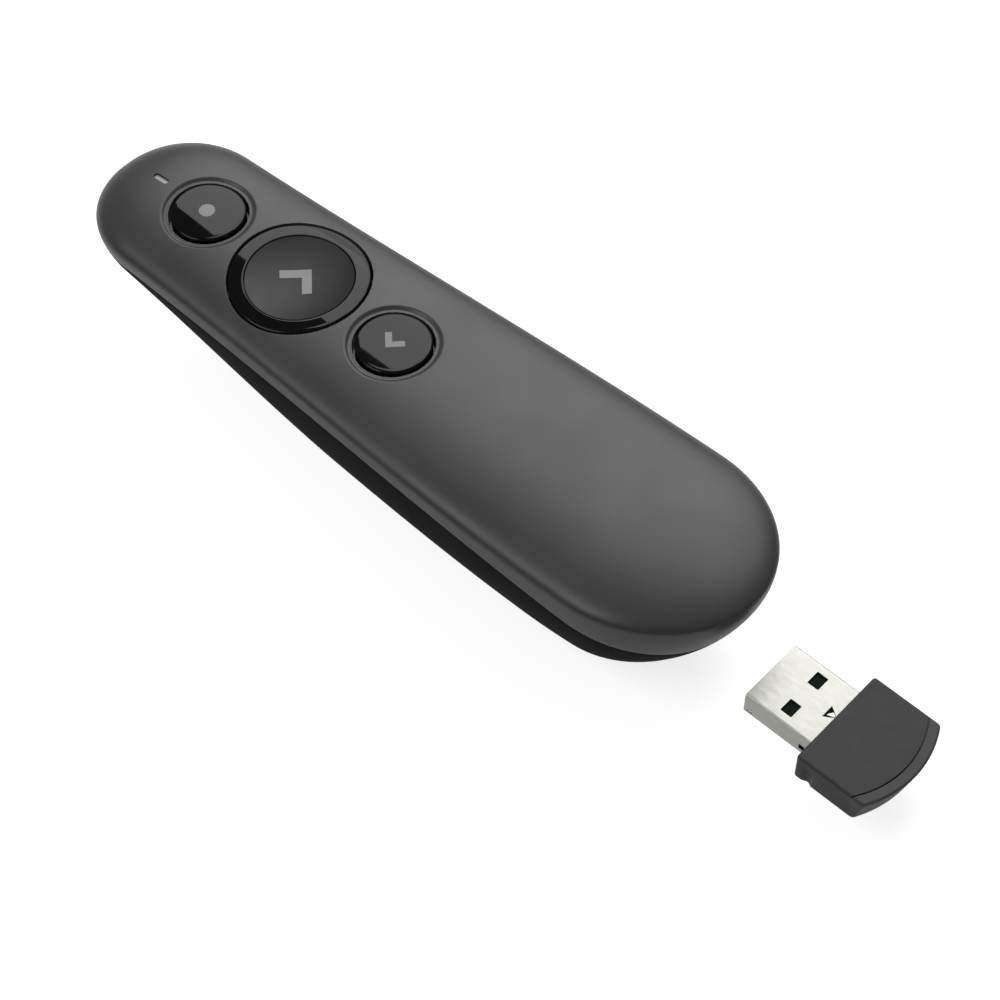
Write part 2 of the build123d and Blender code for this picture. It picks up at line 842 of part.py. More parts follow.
with BuildPart() as receiver_cap:
    with BuildSketch(Plane.XY.offset(cap_bottom)) as cap_outline:
        with BuildLine():
            Polyline(
                (-cap_width / 2, cap_side_end_y),
                (-cap_width / 2, cap_front_y),
                (cap_width / 2, cap_front_y),
                (cap_width / 2, cap_side_end_y),
            )
            ThreePointArc(
                (cap_width / 2, cap_side_end_y),
                (0, cap_end_y),
                (-cap_width / 2, cap_side_end_y),
            )
        make_face()
    extrude(amount=cap_height)
    chamfer(receiver_cap.edges().group_by(Axis.Z)[-1], cap_edge)
    chamfer(receiver_cap.edges().group_by(Axis.Z)[0], cap_edge)
    with BuildSketch(Plane.XY.offset(cap_bottom + cap_height)):
        with Locations((0, cap_end_y + cap_end_radius)):
            Circle(cap_end_radius - cap_groove_inset + cap_groove_width / 2)
            Circle(cap_end_radius - cap_groove_inset - cap_groove_width / 2, mode=Mode.SUBTRACT)
    extrude(amount=-cap_groove_depth, mode=Mode.SUBTRACT)
    with BuildSketch(Plane.XY.offset(cap_bottom)):
        with Locations(
            (-cap_width / 2, cap_front_y - notch_start - notch_length / 2),
            (cap_width / 2, cap_front_y - notch_start - notch_length / 2),
        ):
            Rectangle(2 * notch_depth, notch_length)
    extrude(amount=cap_height, mode=Mode.SUBTRACT)
    with BuildSketch(Plane.XZ.offset(-cap_front_y)):
        with Locations((0, plug_z)):
            RectangleRounded(plug_width + 2 * slip, plug_height + 2 * slip, plug_corner + slip)
    extrude(amount=plug_root, mode=Mode.SUBTRACT)
    with BuildSketch(Plane.XZ.offset(-cap_front_y)):
        with Locations((0, plug_z)):
            Rectangle(2 * card_half + 2 * slip, cap_hollow_height)
    extrude(amount=card_depth + slip, mode=Mode.SUBTRACT)

receiver_cap.part.label = "receiver_cap"
export_step(receiver_cap.part, "parts/receiver_cap.step")

with BuildPart() as usb_shell:
    with BuildSketch(Plane.XZ.offset(-plug_tip_y)):
        with Locations((0, plug_z)):
            RectangleRounded(plug_width, plug_height, plug_corner)
            RectangleRounded(
                plug_width - 2 * plug_sheet,
                plug_height - 2 * plug_sheet,
                plug_corner - plug_sheet,
                mode=Mode.SUBTRACT,
            )
    extrude(amount=plug_length + plug_root)
    with BuildSketch(Plane.XY.offset(plug_z)):
        with Locations(
            (-window_offset, plug_tip_y - window_inset),
            (window_offset, plug_tip_y - window_inset),
        ):
            Rectangle(window_width, window_length)
    extrude(amount=plug_height, both=True, mode=Mode.SUBTRACT)

usb_shell.part.label = "usb_shell"
export_step(usb_shell.part, "parts/usb_shell.step")

with BuildPart() as usb_board:
    with BuildSketch(Plane.XY.offset(card_bottom)):
        with Locations((0, plug_tip_y - finger_setback)):
            Rectangle(
                2 * card_half,
                plug_tip_y - finger_setback - card_rear_y,
                align=(Align.CENTER, Align.MAX),
            )
    extrude(amount=card_thickness)

usb_board.part.label = "usb_board"
export_step(usb_board.part, "parts/usb_board.step")

with BuildPart() as usb_contacts:
    with BuildSketch(Plane.XY.offset(card_bottom)):
        with Locations((0, plug_tip_y - 2 * finger_setback - finger_length / 2)):
            with GridLocations(finger_pitch, finger_length, 4, 1):
                Rectangle(finger_width, finger_length)
    extrude(amount=-finger_thickness)

usb_contacts.part.label = "usb_contacts"
export_step(usb_contacts.part, "parts/usb_contacts.step")

with BuildPart() as receiver_chip:
    with BuildSketch(Plane.XY.offset(card_bottom)):
        with Locations((0, (cap_front_y - plug_root + card_rear_y) / 2)):
            Rectangle(receiver_chip_side, receiver_chip_side)
    extrude(amount=-receiver_chip_height)

receiver_chip.part.label = "receiver_chip"
export_step(receiver_chip.part, "parts/receiver_chip.step")

# ---------------------------------------------------------------- receiver dock
detent_y = cap_front_y + receiver_travel - notch_start - notch_length / 2

with BuildPart() as receiver_dock:
    add(dock_block(0))
    with BuildSketch(Plane.XZ.offset(-dock_rear_y)):
        with Locations((0, plug_z)):
            Rectangle(2 * pocket_half, cap_height + 2 * pocket_clearance)
    extrude(amount=dock_rear_y - pocket_front_y, mode=Mode.SUBTRACT)
    with BuildSketch(Plane.XZ.offset(-dock_rear_y)):
        with Locations((0, plug_z)):
            Rectangle(2 * plug_pocket_half, plug_height + 2 * pocket_clearance)
    extrude(amount=dock_rear_y - plug_pocket_front_y, mode=Mode.SUBTRACT)
    with BuildSketch(Plane.XY.offset(plug_z)):
        with Locations(
            (-pocket_half - detent_radius + detent_reach, detent_y),
            (pocket_half + detent_radius - detent_reach, detent_y),
        ):
            Circle(detent_radius)
    extrude(amount=cap_height / 4, both=True)
    add(casing_form, mode=Mode.INTERSECT)

receiver_dock.part.label = "receiver_dock"
export_step(receiver_dock.part, "parts/receiver_dock.step")
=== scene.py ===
from collections import Counter
from math import acos, asin, atan2, copysign, cos, hypot, pi, radians, sin, sqrt

import bmesh
import bpy
from mathutils import Matrix, Vector
from mathutils.geometry import delaunay_2d_cdt


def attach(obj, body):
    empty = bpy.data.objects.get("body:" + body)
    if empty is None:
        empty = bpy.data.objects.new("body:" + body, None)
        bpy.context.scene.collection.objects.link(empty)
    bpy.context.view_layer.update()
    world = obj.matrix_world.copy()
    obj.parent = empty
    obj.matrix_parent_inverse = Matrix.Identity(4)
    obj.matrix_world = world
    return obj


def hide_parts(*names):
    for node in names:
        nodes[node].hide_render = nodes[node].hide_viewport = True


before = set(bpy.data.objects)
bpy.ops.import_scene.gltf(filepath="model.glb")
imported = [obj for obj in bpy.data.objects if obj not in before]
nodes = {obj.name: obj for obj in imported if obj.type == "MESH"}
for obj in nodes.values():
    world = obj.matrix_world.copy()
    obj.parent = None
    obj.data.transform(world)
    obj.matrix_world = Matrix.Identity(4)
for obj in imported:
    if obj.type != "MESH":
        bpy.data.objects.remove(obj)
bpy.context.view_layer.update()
mm = 0.001
print("frame loaded,", len(nodes), "nodes")


def toLinear(hexColour):  # sRGB hex to linear RGBA
    parts = [int(hexColour[i:i + 2], 16) / 255 for i in (1, 3, 5)]
    return [c / 12.92 if c <= 0.04045 else ((c + 0.055) / 1.055) ** 2.4 for c in parts] + [1.0]


def link(tree, source, node, socket):  # the source is a socket, or a node whose first output counts
    tree.links.new(getattr(source, "outputs", [source])[0], node.inputs[socket])


def addNode(tree, kind, links=None, values=None, **settings):  # one node, its inputs and links
    node = tree.nodes.new(kind)
    for name, value in settings.items():
        setattr(node, name, value)
    for socket, value in (values or {}).items():
        node.inputs[socket].default_value = value
    for socket, source in (links or {}).items():
        link(tree, source, node, socket)
    return node


def perMetre(size):  # the scale of a texture whose pattern repeats at about this many mm
    return 1 / (size * mm)


def gloss(low, high):  # most values of a noise texture lie between 0.3 and 0.7
    return {"From Min": 0.3, "From Max": 0.7, "To Min": low, "To Max": high}


def newMaterial(name, look):  # a tree with its shader and output, and the object's own coordinates
    material = bpy.data.materials.new(name)
    material.use_nodes = True
    tree = material.node_tree
    tree.nodes.clear()
    shader = addNode(tree, "ShaderNodeBsdfPrincipled", None, {"Base Color": toLinear(look["colour"])})
    sockets = (("roughness", "Roughness"), ("metallic", "Metallic"), ("ior", "IOR"))
    for key, socket in (*sockets, ("transmission", "Transmission Weight")):
        if key in look:
            shader.inputs[socket].default_value = look[key]
    addNode(tree, "ShaderNodeOutputMaterial", {"Surface": shader})
    place = addNode(tree, "ShaderNodeTexCoord")
    return material, tree, shader, place.outputs["Object"]


def mottle(tree, shader, place, look):  # a slow drift of colour and gloss, and a fine moulded or ground grain
    drift = addNode(
        tree, "ShaderNodeTexNoise", {"Vector": place}, {"Scale": perMetre(look["driftSize"]), "Detail": 2.0})
    low, high = look["roughness"] - look["roughSpan"], look["roughness"] + look["roughSpan"]
    rough = addNode(tree, "ShaderNodeMapRange", {"Value": drift}, gloss(low, high))
    link(tree, rough, shader, "Roughness")
    colours = {"A": toLinear(look["colour"]), "B": toLinear(look["second"])}
    ramp = addNode(tree, "ShaderNodeMix", {"Factor": drift}, colours, data_type="RGBA")
    link(tree, ramp.outputs["Result"], shader, "Base Color")
    grain = addNode(
        tree, "ShaderNodeTexNoise", {"Vector": place},
        {"Scale": perMetre(look["grainSize"]), "Detail": 3.0, "Roughness": 0.6})
    bump = addNode(
        tree, "ShaderNodeBump", {"Height": grain},
        {"Strength": look["grainStrength"], "Distance": look["grainDepth"] * mm})
    link(tree, bump, shader, "Normal")
    return ramp, bump


def grained(name, look):
    material, tree, shader, place = newMaterial(name, look)
    mottle(tree, shader, place, look)
    return material


# soft-touch paint on moulded ABS: matte, with a soft broad highlight; its 0.12 mm grain is drawn as 0.2 mm
softTouch = {
    "colour": "#434344", "second": "#484849", "roughness": 0.37, "roughSpan": 0.03, "ior": 1.5,
    "driftSize": 9.0, "grainSize": 0.2, "grainStrength": 0.25, "grainDepth": 0.012,
}
softTouchPaint = grained("softTouchPaintedAbs", softTouch)

# the same paint below the seam, its colour painted darker as shade and duller, so that the belly stays in
# shade
bellyTouchPaintedShade = dict(softTouch, colour="#232324", second="#272728", roughness=0.72, ior=1.15)
softTouchBellyPaintedShade = grained("softTouchPaintedAbsBellyPaintedShade", bellyTouchPaintedShade)

# polished moulded ABS: near black, mirror gloss, with the faint slow ripple of the tool
glossBlack = grained("polishedBlackAbs", {
    "colour": "#070708", "second": "#080809", "roughness": 0.035, "roughSpan": 0.01, "ior": 1.33,
    "driftSize": 6.0, "grainSize": 3.5, "grainStrength": 0.02, "grainDepth": 0.004,
})

# spark-eroded ABS: satin black that spreads its highlight; its 0.08 mm grain is drawn as 0.16 mm
satinBlack = grained("sparkErodedBlackAbs", {
    "colour": "#202021", "second": "#242425", "roughness": 0.42, "roughSpan": 0.03, "ior": 1.42,
    "driftSize": 5.0, "grainSize": 0.16, "grainStrength": 0.12, "grainDepth": 0.006,
})

# pad-printed grey ink: flat and even
printedInk = grained("padPrintedGreyInk", {
    "colour": "#9c9c9c", "second": "#a4a4a4", "roughness": 0.5, "roughSpan": 0.03, "ior": 1.48,
    "driftSize": 1.5, "grainSize": 0.1, "grainStrength": 0.15, "grainDepth": 0.004,
})

pipe = {  # moulded milky polycarbonate: pale grey with a soft gloss
    "colour": "#b4b6b6", "second": "#bec0c0", "roughness": 0.28, "roughSpan": 0.04, "ior": 1.58,
    "driftSize": 1.2, "grainSize": 0.2, "grainStrength": 0.05, "grainDepth": 0.004,
}
milkyPolycarbonate = grained("mouldedMilkyPolycarbonate", pipe)

innerPlastic = {  # moulded black ABS left as it comes from the tool: an even low sheen
    "colour": "#1c1c1d", "second": "#212122", "roughness": 0.45, "roughSpan": 0.05, "ior": 1.5,
    "driftSize": 5.0, "grainSize": 0.2, "grainStrength": 0.15, "grainDepth": 0.01,
}
mouldedBlack = grained("mouldedBlackAbs", innerPlastic)

# the small electronic pieces: dull black epoxy, matte tan ceramic, clear cast resin and dark red glass
chipResin = grained("mouldedEpoxyResin", dict(
    innerPlastic, colour="#17181a", second="#1d1e20", roughness=0.55, grainSize=0.12))
ceramic = grained("firedCeramicChip", dict(
    innerPlastic, colour="#a98f6b", second="#97805f", roughness=0.5, driftSize=1.0))
clearResin = grained("castClearResin", dict(pipe, colour="#d7e3d2", second="#e0eadc", roughness=0.2))
windowGlass = grained("polishedTintedGlass", dict(
    pipe, colour="#3a1414", second="#431818", roughness=0.04, roughSpan=0.02, ior=1.52, transmission=0.6,
    grainStrength=0.02))

nickel = {  # drawn steel sheet, bright nickel plated: pale, with fine rolling streaks along the sheet
    "colour": "#bcbcb6", "roughness": 0.38, "glossier": 0.05, "duller": 0.06, "metallic": 1.0,
    "streak": 0.12, "stretch": 14.0, "streakStrength": 0.04, "streakDepth": 0.004,
}


def rolledMetal(name, look):  # noise stretched along Y reads as rolling or brushing marks
    material, tree, shader, place = newMaterial(name, look)
    stretched = addNode(
        tree, "ShaderNodeVectorMath", {0: place}, {1: (1.0, 1 / look["stretch"], 1.0)}, operation="MULTIPLY")
    streaks = addNode(
        tree, "ShaderNodeTexNoise", {"Vector": stretched},
        {"Scale": perMetre(look["streak"]), "Detail": 3.0})
    low, high = look["roughness"] - look["glossier"], look["roughness"] + look["duller"]
    rough = addNode(tree, "ShaderNodeMapRange", {"Value": streaks}, gloss(low, high))
    link(tree, rough, shader, "Roughness")
    bump = addNode(
        tree, "ShaderNodeBump", {"Height": streaks},
        {"Strength": look["streakStrength"], "Distance": look["streakDepth"] * mm})
    link(tree, bump, shader, "Normal")
    return material


platedSteel = rolledMetal("nickelPlatedSteelSheet", nickel)
contactNickel = rolledMetal("nickelPlatedSpringSteel", dict(nickel, colour="#c9c9c4", roughness=0.3))
switchSteel = rolledMetal("stampedStainlessSteel", dict(nickel, colour="#b9b9b6", roughness=0.34))
screwSteel = rolledMetal("blackZincSteel", dict(nickel, colour="#5a5a5c", stretch=1.0))
turnedBrass = rolledMetal("turnedBrass", dict(nickel, colour="#c8a24e", roughness=0.3, stretch=0.1))
goldPlate = rolledMetal("goldPlatedCopper", dict(nickel, colour="#d9b35a", roughness=0.25))

solderMask = {  # glass-fibre board under green lacquer: its 0.5 mm weave and the copper tracks show faintly
    "colour": "#0f3a28", "second": "#15482f", "roughness": 0.34, "ior": 1.5,
    "weave": 0.5, "weaveStrength": 0.1, "weaveDepth": 0.01, "weaveWander": 0.4,
    "tracks": 4.4, "trackLong": 0.9, "trackPitch": 0.22, "trackWide": 0.06,
}


def circuitBoard(name, look):
    material, tree, shader, place = newMaterial(name, look)
    board = toLinear(look["colour"])
    tracks = addNode(tree, "ShaderNodeTexBrick", {"Vector": place}, {
        "Scale": perMetre(look["tracks"]), "Mortar Size": look["trackWide"], "Brick Width": look["trackLong"],
        "Row Height": look["trackPitch"], "Color1": board, "Color2": board,
        "Mortar": toLinear(look["second"])})
    link(tree, tracks.outputs["Color"], shader, "Base Color")
    weave = addNode(
        tree, "ShaderNodeTexWave", {"Vector": place},
        {"Scale": perMetre(look["weave"] * 2 * pi), "Distortion": look["weaveWander"]})
    bump = addNode(
        tree, "ShaderNodeBump", {"Height": weave},
        {"Strength": look["weaveStrength"], "Distance": look["weaveDepth"] * mm})
    link(tree, bump, shader, "Normal")
    return material


boardGreen = circuitBoard("solderMaskedFibreglass", solderMask)
# the receiver's board, seen through the plug's windows: its green solder mask painted near black as the shade
# inside the plug
boardPaintedShade = circuitBoard("solderMaskedFibreglassPaintedShade", dict(
    solderMask, colour="#06180f", second="#092216", roughness=0.6, ior=1.2))

label = {  # printed film shrunk on a zinc can: dark satin with a pale band at the plus end, slightly rippled
    "colour": "#2b2d31", "band": "#c6c8c6", "roughness": 0.3, "ior": 1.5, "bandFrom": 9.0,
    "ripple": 4.0, "rippleStrength": 0.1, "rippleDepth": 0.05,
}


def batteryLabel(name, look):
    material, tree, shader, place = newMaterial(name, look)
    apart = addNode(tree, "ShaderNodeSeparateXYZ", {"Vector": place})
    past = addNode(
        tree, "ShaderNodeMath", {0: apart.outputs["Y"]}, {1: look["bandFrom"] * mm}, operation="GREATER_THAN")
    colours = {"A": toLinear(look["colour"]), "B": toLinear(look["band"])}
    bands = addNode(tree, "ShaderNodeMix", {"Factor": past}, colours, data_type="RGBA")
    link(tree, bands.outputs["Result"], shader, "Base Color")
    ripple = addNode(
        tree, "ShaderNodeTexNoise", {"Vector": place}, {"Scale": perMetre(look["ripple"]), "Detail": 1.0})
    bump = addNode(
        tree, "ShaderNodeBump", {"Height": ripple},
        {"Strength": look["rippleStrength"], "Distance": look["rippleDepth"] * mm})
    link(tree, bump, shader, "Normal")
    return material


printedLabel = batteryLabel("printedShrinkFilm", label)
print("materials made")

# The casing's lines in mm: values at four stations from tail to nose, and the curves that close both ends.
casing = {
    "stations": (-68.15, -25.0, 20.0, 68.15), "halfWidth": (17.7, 18.25, 15.95, 14.75),
    "crown": (28.3, 25.75, 23.85, 23.0), "widest": (24.85, 21.9, 20.55, 18.05),
    "seam": (17.3, 19.35, 18.35, 17.3),
    "tailRounding": 21.5, "noseRounding": 15.2, "tailSteps": 30, "noseSteps": 24, "middleSteps": 76,
    "planPower": 2.05, "tailUnderPower": 1.8, "noseUnderPower": 2.0,
    "topPower": 2.15, "bellyPower": 2.6, "bellyDrop": 0.6,
    "footRear": -38.0, "footFront": 5.0, "footSoft": 0.12, "tailRise": 6.0, "noseRise": 15.0,
    "risePower": 1.7, "keelTrim": 0.35, "skin": 0.03, "seamGap": 0.16, "wall": 1.7, "lip": 0.16,
    "tailEnd": -68.14, "noseFrom": 60.0, "noseEnd": 68.11,
}
tailY, noseY = casing["stations"][0], casing["stations"][-1]
hair = 1e-6  # mm, less than any size that counts


def along(line, y):  # the smooth curve through one value at each station
    places, total = casing["stations"], 0.0
    for own, value in zip(places, casing[line]):
        share = value
        for other in places:
            if other != own:
                share *= (y - other) / (own - other)
        total += share
    return total


def between(start, end, share):
    return [a + (b - a) * share for a, b in zip(start, end)]


def rounding(y, tailPower, nosePower):  # 1 along the middle, falling to 0 at both ends
    inTail = max(0.0, (tailY + casing["tailRounding"] - y) / casing["tailRounding"])
    inNose = max(0.0, (y - noseY + casing["noseRounding"]) / casing["noseRounding"])
    tail = max(0.0, 1 - inTail ** tailPower) ** (1 / tailPower)
    return tail * max(0.0, 1 - inNose ** nosePower) ** (1 / nosePower)


def keel(y):  # flat under the foot, rising to both ends
    rise = 0.0
    if y > casing["footFront"]:
        share = (y - casing["footFront"]) / (noseY - casing["footFront"])
        rise = casing["noseRise"] * share ** casing["risePower"]
    elif y < casing["footRear"]:
        share = (casing["footRear"] - y) / (casing["footRear"] - tailY)
        rise = casing["tailRise"] * share ** casing["risePower"]
    return rise - casing["keelTrim"]


def sizes(y):  # half width, widest height, rise above it, depth below it, power of the belly
    plan = rounding(y, casing["planPower"], casing["planPower"])
    under = rounding(y, casing["tailUnderPower"], casing["noseUnderPower"])
    widest = along("widest", y)
    half = (along("halfWidth", y) - casing["skin"]) * plan
    rise = (along("crown", y) - widest - casing["skin"]) * plan
    power = casing["bellyPower"] - casing["bellyDrop"] * (y / noseY) ** 2
    return half, widest, rise, (widest - keel(y)) * under, power


def onFoot(z):  # no lower than the flat foot, which has a soft edge
    return (z + sqrt(z * z + casing["footSoft"] ** 2)) / 2


def crownAt(x, y):
    half, widest, rise, depth, power = sizes(y)
    return widest + rise * max(0.0, 1 - (abs(x) / half) ** casing["topPower"]) ** (1 / casing["topPower"])


def bellyAt(x, y):
    half, widest, rise, depth, power = sizes(y)
    return onFoot(widest - depth * max(0.0, 1 - (abs(x) / half) ** power) ** (1 / power))


def sidePoint(y, turn):  # turn is -pi/2 at the keel, 0 at the widest line and pi/2 at the crown
    half, widest, rise, depth, power = sizes(y)
    if turn < 0:
        z = widest - depth * abs(sin(turn)) ** (2 / power)
        return half * max(0.0, cos(turn)) ** (2 / power), onFoot(z)
    top = 2 / casing["topPower"]
    return half * max(0.0, cos(turn)) ** top, widest + rise * sin(turn) ** top


def turnAtHeight(y, z):  # where a level below the widest line meets the section, or the keel
    half, widest, rise, depth, power = sizes(y)
    share = max(0.0, (widest - z) / max(depth, hair))
    return -asin(min(1.0, share ** (power / 2)))


def turnAtWidth(y, x):  # where a half width meets the belly
    half, widest, rise, depth, power = sizes(y)
    return -acos(min(1.0, (x / half) ** (power / 2)))


def bisect(start, end, isPast):  # the place between start and end from which the test holds
    for step in range(60):
        middle = (start + end) / 2
        if isPast(middle):
            end = middle
        else:
            start = middle
    return (start + end) / 2


def seamEnd(offset, outside):  # where the shifted seam crosses the middle line, at the end that lies outside
    def seamMeetsSide(y):
        half, widest, rise, depth, power = sizes(y)
        return widest - depth < along("seam", y) + offset

    inside = copysign(50.0, outside)  # there the belly reaches well below the seam
    return bisect(outside, inside, seamMeetsSide)


def noseAt(x, z):  # how far forward the skin of the nose lies
    def isOutside(y):
        half, widest, rise, depth, power = sizes(y)
        reach, power = (rise, casing["topPower"]) if z > widest else (depth, power)
        return (abs(x) / half) ** power + (abs(z - widest) / reach) ** power >= 1

    return bisect(casing["noseFrom"], casing["noseEnd"], isOutside)


def columns(offset, extra=()):  # places along the casing, close together round both ends
    rear, front = tailY + casing["tailRounding"], noseY - casing["noseRounding"]
    tailSteps, noseSteps, steps = (casing[end + "Steps"] for end in ("tail", "nose", "middle"))
    found = [rear - casing["tailRounding"] * cos(pi / 2 * k / tailSteps) for k in range(tailSteps)]
    found += [rear + (front - rear) * k / steps for k in range(steps + 1)]
    turns = [pi / 2 * k / noseSteps for k in reversed(range(noseSteps))]
    found += [front + casing["noseRounding"] * cos(turn) for turn in turns]
    found[0], found[-1] = tailY, casing["noseEnd"]
    for y in (*extra, seamEnd(offset, casing["tailEnd"]), seamEnd(offset, casing["noseEnd"])):
        nearest = min(range(len(found)), key=lambda k: abs(found[k] - y))
        found[nearest] = y
    return sorted(set(found))


def meshFrom(name, points, faces):  # points in mm
    mesh = bpy.data.meshes.new(name)
    mesh.from_pydata([tuple(c * mm for c in p) for p in points], [], faces)
    mesh.validate()
    return mesh


def addObject(name, data):
    added = bpy.data.objects.new(name, data)
    bpy.context.scene.collection.objects.link(added)
    return added


def turnOutward(mesh, join=False):  # join first merges points that coincide and drops points without a face
    bm = bmesh.new()
    bm.from_mesh(mesh)
    if join:
        bmesh.ops.remove_doubles(bm, verts=bm.verts, dist=0.002 * mm)
        bmesh.ops.dissolve_degenerate(bm, edges=bm.edges, dist=0.0005 * mm)
        bmesh.ops.delete(bm, geom=[v for v in bm.verts if not v.link_faces], context="VERTS")
    bmesh.ops.recalc_face_normals(bm, faces=bm.faces)
    bm.to_mesh(mesh)
    bm.free()


def makePiece(name, points, faces, material, body, slot, replaced=(), smooth=40):
    mesh = meshFrom(name, points, faces)
    turnOutward(mesh, True)
    mesh.materials.append(material)
    piece = addObject(name, mesh)
    piece["smoothAngle"] = smooth
    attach(piece, body)
    if replaced:
        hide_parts(*replaced)
    return piece


def applyAll(piece):
    graph = bpy.context.evaluated_depsgraph_get()
    mesh = bpy.data.meshes.new_from_object(piece.evaluated_get(graph))
    piece.modifiers.clear()
    old, piece.data = piece.data, mesh
    bpy.data.meshes.remove(old)
    return mesh


def settle(piece, flat=False):  # applies the modifiers and marks sharp edges; flat keeps flat faces even
    mesh = applyAll(piece)
    mesh.shade_smooth()
    mesh.set_sharp_from_angle(angle=radians(piece["smoothAngle"]))
    if flat:
        weighted = piece.modifiers.new("weighted", "WEIGHTED_NORMAL")
        weighted.weight, weighted.keep_sharp = 90, True
        applyAll(piece)
    del piece["smoothAngle"]


def thicken(piece, thickness):  # inward from the skin
    wall = piece.modifiers.new("wall", "SOLIDIFY")
    wall.thickness, wall.offset, wall.use_rim = thickness * mm, -1.0, True


def soften(piece, width, segments=2, angle=50):  # rounds the edges that are sharper than the angle
    edge = piece.modifiers.new("edge", "BEVEL")
    edge.width, edge.segments = width * mm, segments
    edge.limit_method, edge.angle_limit = "ANGLE", radians(angle)
    edge.use_clamp_overlap, edge.harden_normals = True, False


def ringFaces(first, second, count):  # the band of faces between two closed rings of points
    nexts = [(k, (k + 1) % count) for k in range(count)]
    return [(first + k, first + n, second + n, second + k) for k, n in nexts]


def bandFaces(rings, count):  # the faces between closed rings of points, each ring with the next
    return [face for ring in range(rings - 1) for face in ringFaces(ring * count, (ring + 1) * count, count)]


def gridFaces(across, lines):  # the faces of a sheet of points
    wide = across + 1
    corners = [i * wide + j for i in range(lines - 1) for j in range(across)]
    return [(k, k + 1, k + wide + 1, k + wide) for k in corners]


def slab(points, across, lines, otherSide):  # a sheet of points, its other side and the rim between them
    wide, count = across + 1, len(points)
    sheet = gridFaces(across, lines)
    rim = list(range(wide)) + [i * wide + across for i in range(1, lines)]
    rim += [(lines - 1) * wide + j for j in range(across - 1, -1, -1)]
    rim += [i * wide for i in range(lines - 2, 0, -1)]
    faces = sheet + [tuple(count + k for k in reversed(face)) for face in sheet]
    faces += [(a, b, count + b, count + a) for a, b in zip(rim, rim[1:] + rim[:1])]
    return points + [(x, y, otherSide(z)) for x, y, z in points], faces


def prism(outline, low, high, axis="Z"):  # points and faces of a straight solid on an outline
    count = len(outline)
    points = [(a, b, end) if axis == "Z" else (a, end, b) for end in (low, high) for a, b in outline]
    ends = [tuple(range(count))[::-1], tuple(range(count, 2 * count))]
    return points, ends + ringFaces(0, count, count)


def cutAway(piece, outline, low, high, axis="Z"):  # takes a straight solid out of a piece
    mesh = meshFrom("cutter", *prism(outline, low, high, axis))
    turnOutward(mesh)
    cutter = addObject("cutter", mesh)
    cut = piece.modifiers.new("cut", "BOOLEAN")
    cut.operation, cut.solver, cut.object = "DIFFERENCE", "EXACT", cutter
    applyAll(piece)
    bpy.data.objects.remove(cutter)
    bpy.data.meshes.remove(mesh)


def ringOf(radius, centreY, count):  # a circle on the middle line
    angles = [2 * pi * k / count for k in range(count)]
    return [(radius * cos(angle), centreY + radius * sin(angle)) for angle in angles]


def roundedBox(halfX, halfY, corner, centreX=0.0, centreY=0.0, steps=5):
    found = []
    for turn, sideX, sideY in ((0, 1, 1), (1, -1, 1), (2, -1, -1), (3, 1, -1)):
        middleX, middleY = centreX + sideX * (halfX - corner), centreY + sideY * (halfY - corner)
        angles = [pi / 2 * (turn + k / steps) for k in range(steps + 1)]
        found += [(middleX + corner * cos(angle), middleY + corner * sin(angle)) for angle in angles]
    return found


def stadium(centreY, halfWidth, halfLength, steps):  # a slot along Y, round at both ends
    middle = centreY + halfLength - halfWidth
    angles = [pi * k / steps for k in range(steps + 1)]
    front = [(halfWidth * cos(angle), middle + halfWidth * sin(angle)) for angle in angles]
    return front + [(-x, 2 * centreY - y) for x, y in front]


def fromHole(hole, x, y):  # how far a place lies from the line that a hole is drawn round
    return hypot(x, max(0.0, abs(y - hole["y"]) - hole["straight"]))


def edgesOf(face):
    return [frozenset(pair) for pair in zip(face, face[1:] + face[:1])]


def openRound(points, faces, holes, height):
    # drops the faces over each hole's surround, then fills the surround with rings that follow the height
    def overHole(point):
        x, y, z = point
        near = any(fromHole(hole, x, y) < hole["reach"] for hole in holes)
        return near and z > along("widest", y)

    above = {k for k, point in enumerate(points) if overHole(point)}
    kept, dropped = [], []
    for face in faces:
        (dropped if any(k in above for k in face) else kept).append(face)
    seen = Counter(edge for face in kept for edge in edgesOf(face))
    border = {edge for face in dropped for edge in edgesOf(face) if seen[edge] == 1}
    border = [tuple(edge) for edge in border]
    used = sorted({k for edge in border for k in edge})
    flat = [Vector(points[k][:2]) for k in used]
    place = {k: n for n, k in enumerate(used)}
    edges = [(place[a], place[b]) for a, b in border]
    heights = [points[k][2] for k in used]
    for hole in holes:
        for out in hole["rings"]:
            radius = hole["radius"] + out
            ring = stadium(hole["y"], radius, radius + hole["straight"], hole["steps"])
            start, count = len(flat), len(ring)
            flat += [Vector(spot) for spot in ring]
            heights += [height(x, y) for x, y in ring]
            if out == 0:
                edges += [(start + k, start + (k + 1) % count) for k in range(count)]
    spots, _, triangles, origins, _, _ = delaunay_2d_cdt(flat, edges, [], 0, 1e-7)
    index = []
    for spot, origin in zip(spots, origins):
        source = origin[0] if origin else None
        if source is not None and source < len(used):
            index.append(used[source])
        else:
            index.append(len(points))
            points.append((spot[0], spot[1], height(*spot) if source is None else heights[source]))
    lines = [(Vector(points[a][:2]), Vector(points[b][:2])) for a, b in border]
    for triangle in triangles:
        x, y = (sum(spots[k][axis] for k in triangle) / 3 for axis in (0, 1))
        if any(fromHole(hole, x, y) < hole["radius"] - 0.02 for hole in holes):
            continue
        level = [(a, b) for a, b in lines if (a.y > y) != (b.y > y)]
        crossed = sum(a.x + (y - a.y) * (b.x - a.x) / (b.y - a.y) > x for a, b in level)
        if crossed % 2:  # with an odd count of border lines on its right it lies inside
            kept.append(tuple(index[k] for k in triangle))
    return points, kept


bore = {"z": 18.05, "radius": 2.16, "behind": 65.3, "seamY": 67.6}  # in the nose, for the laser's bezel


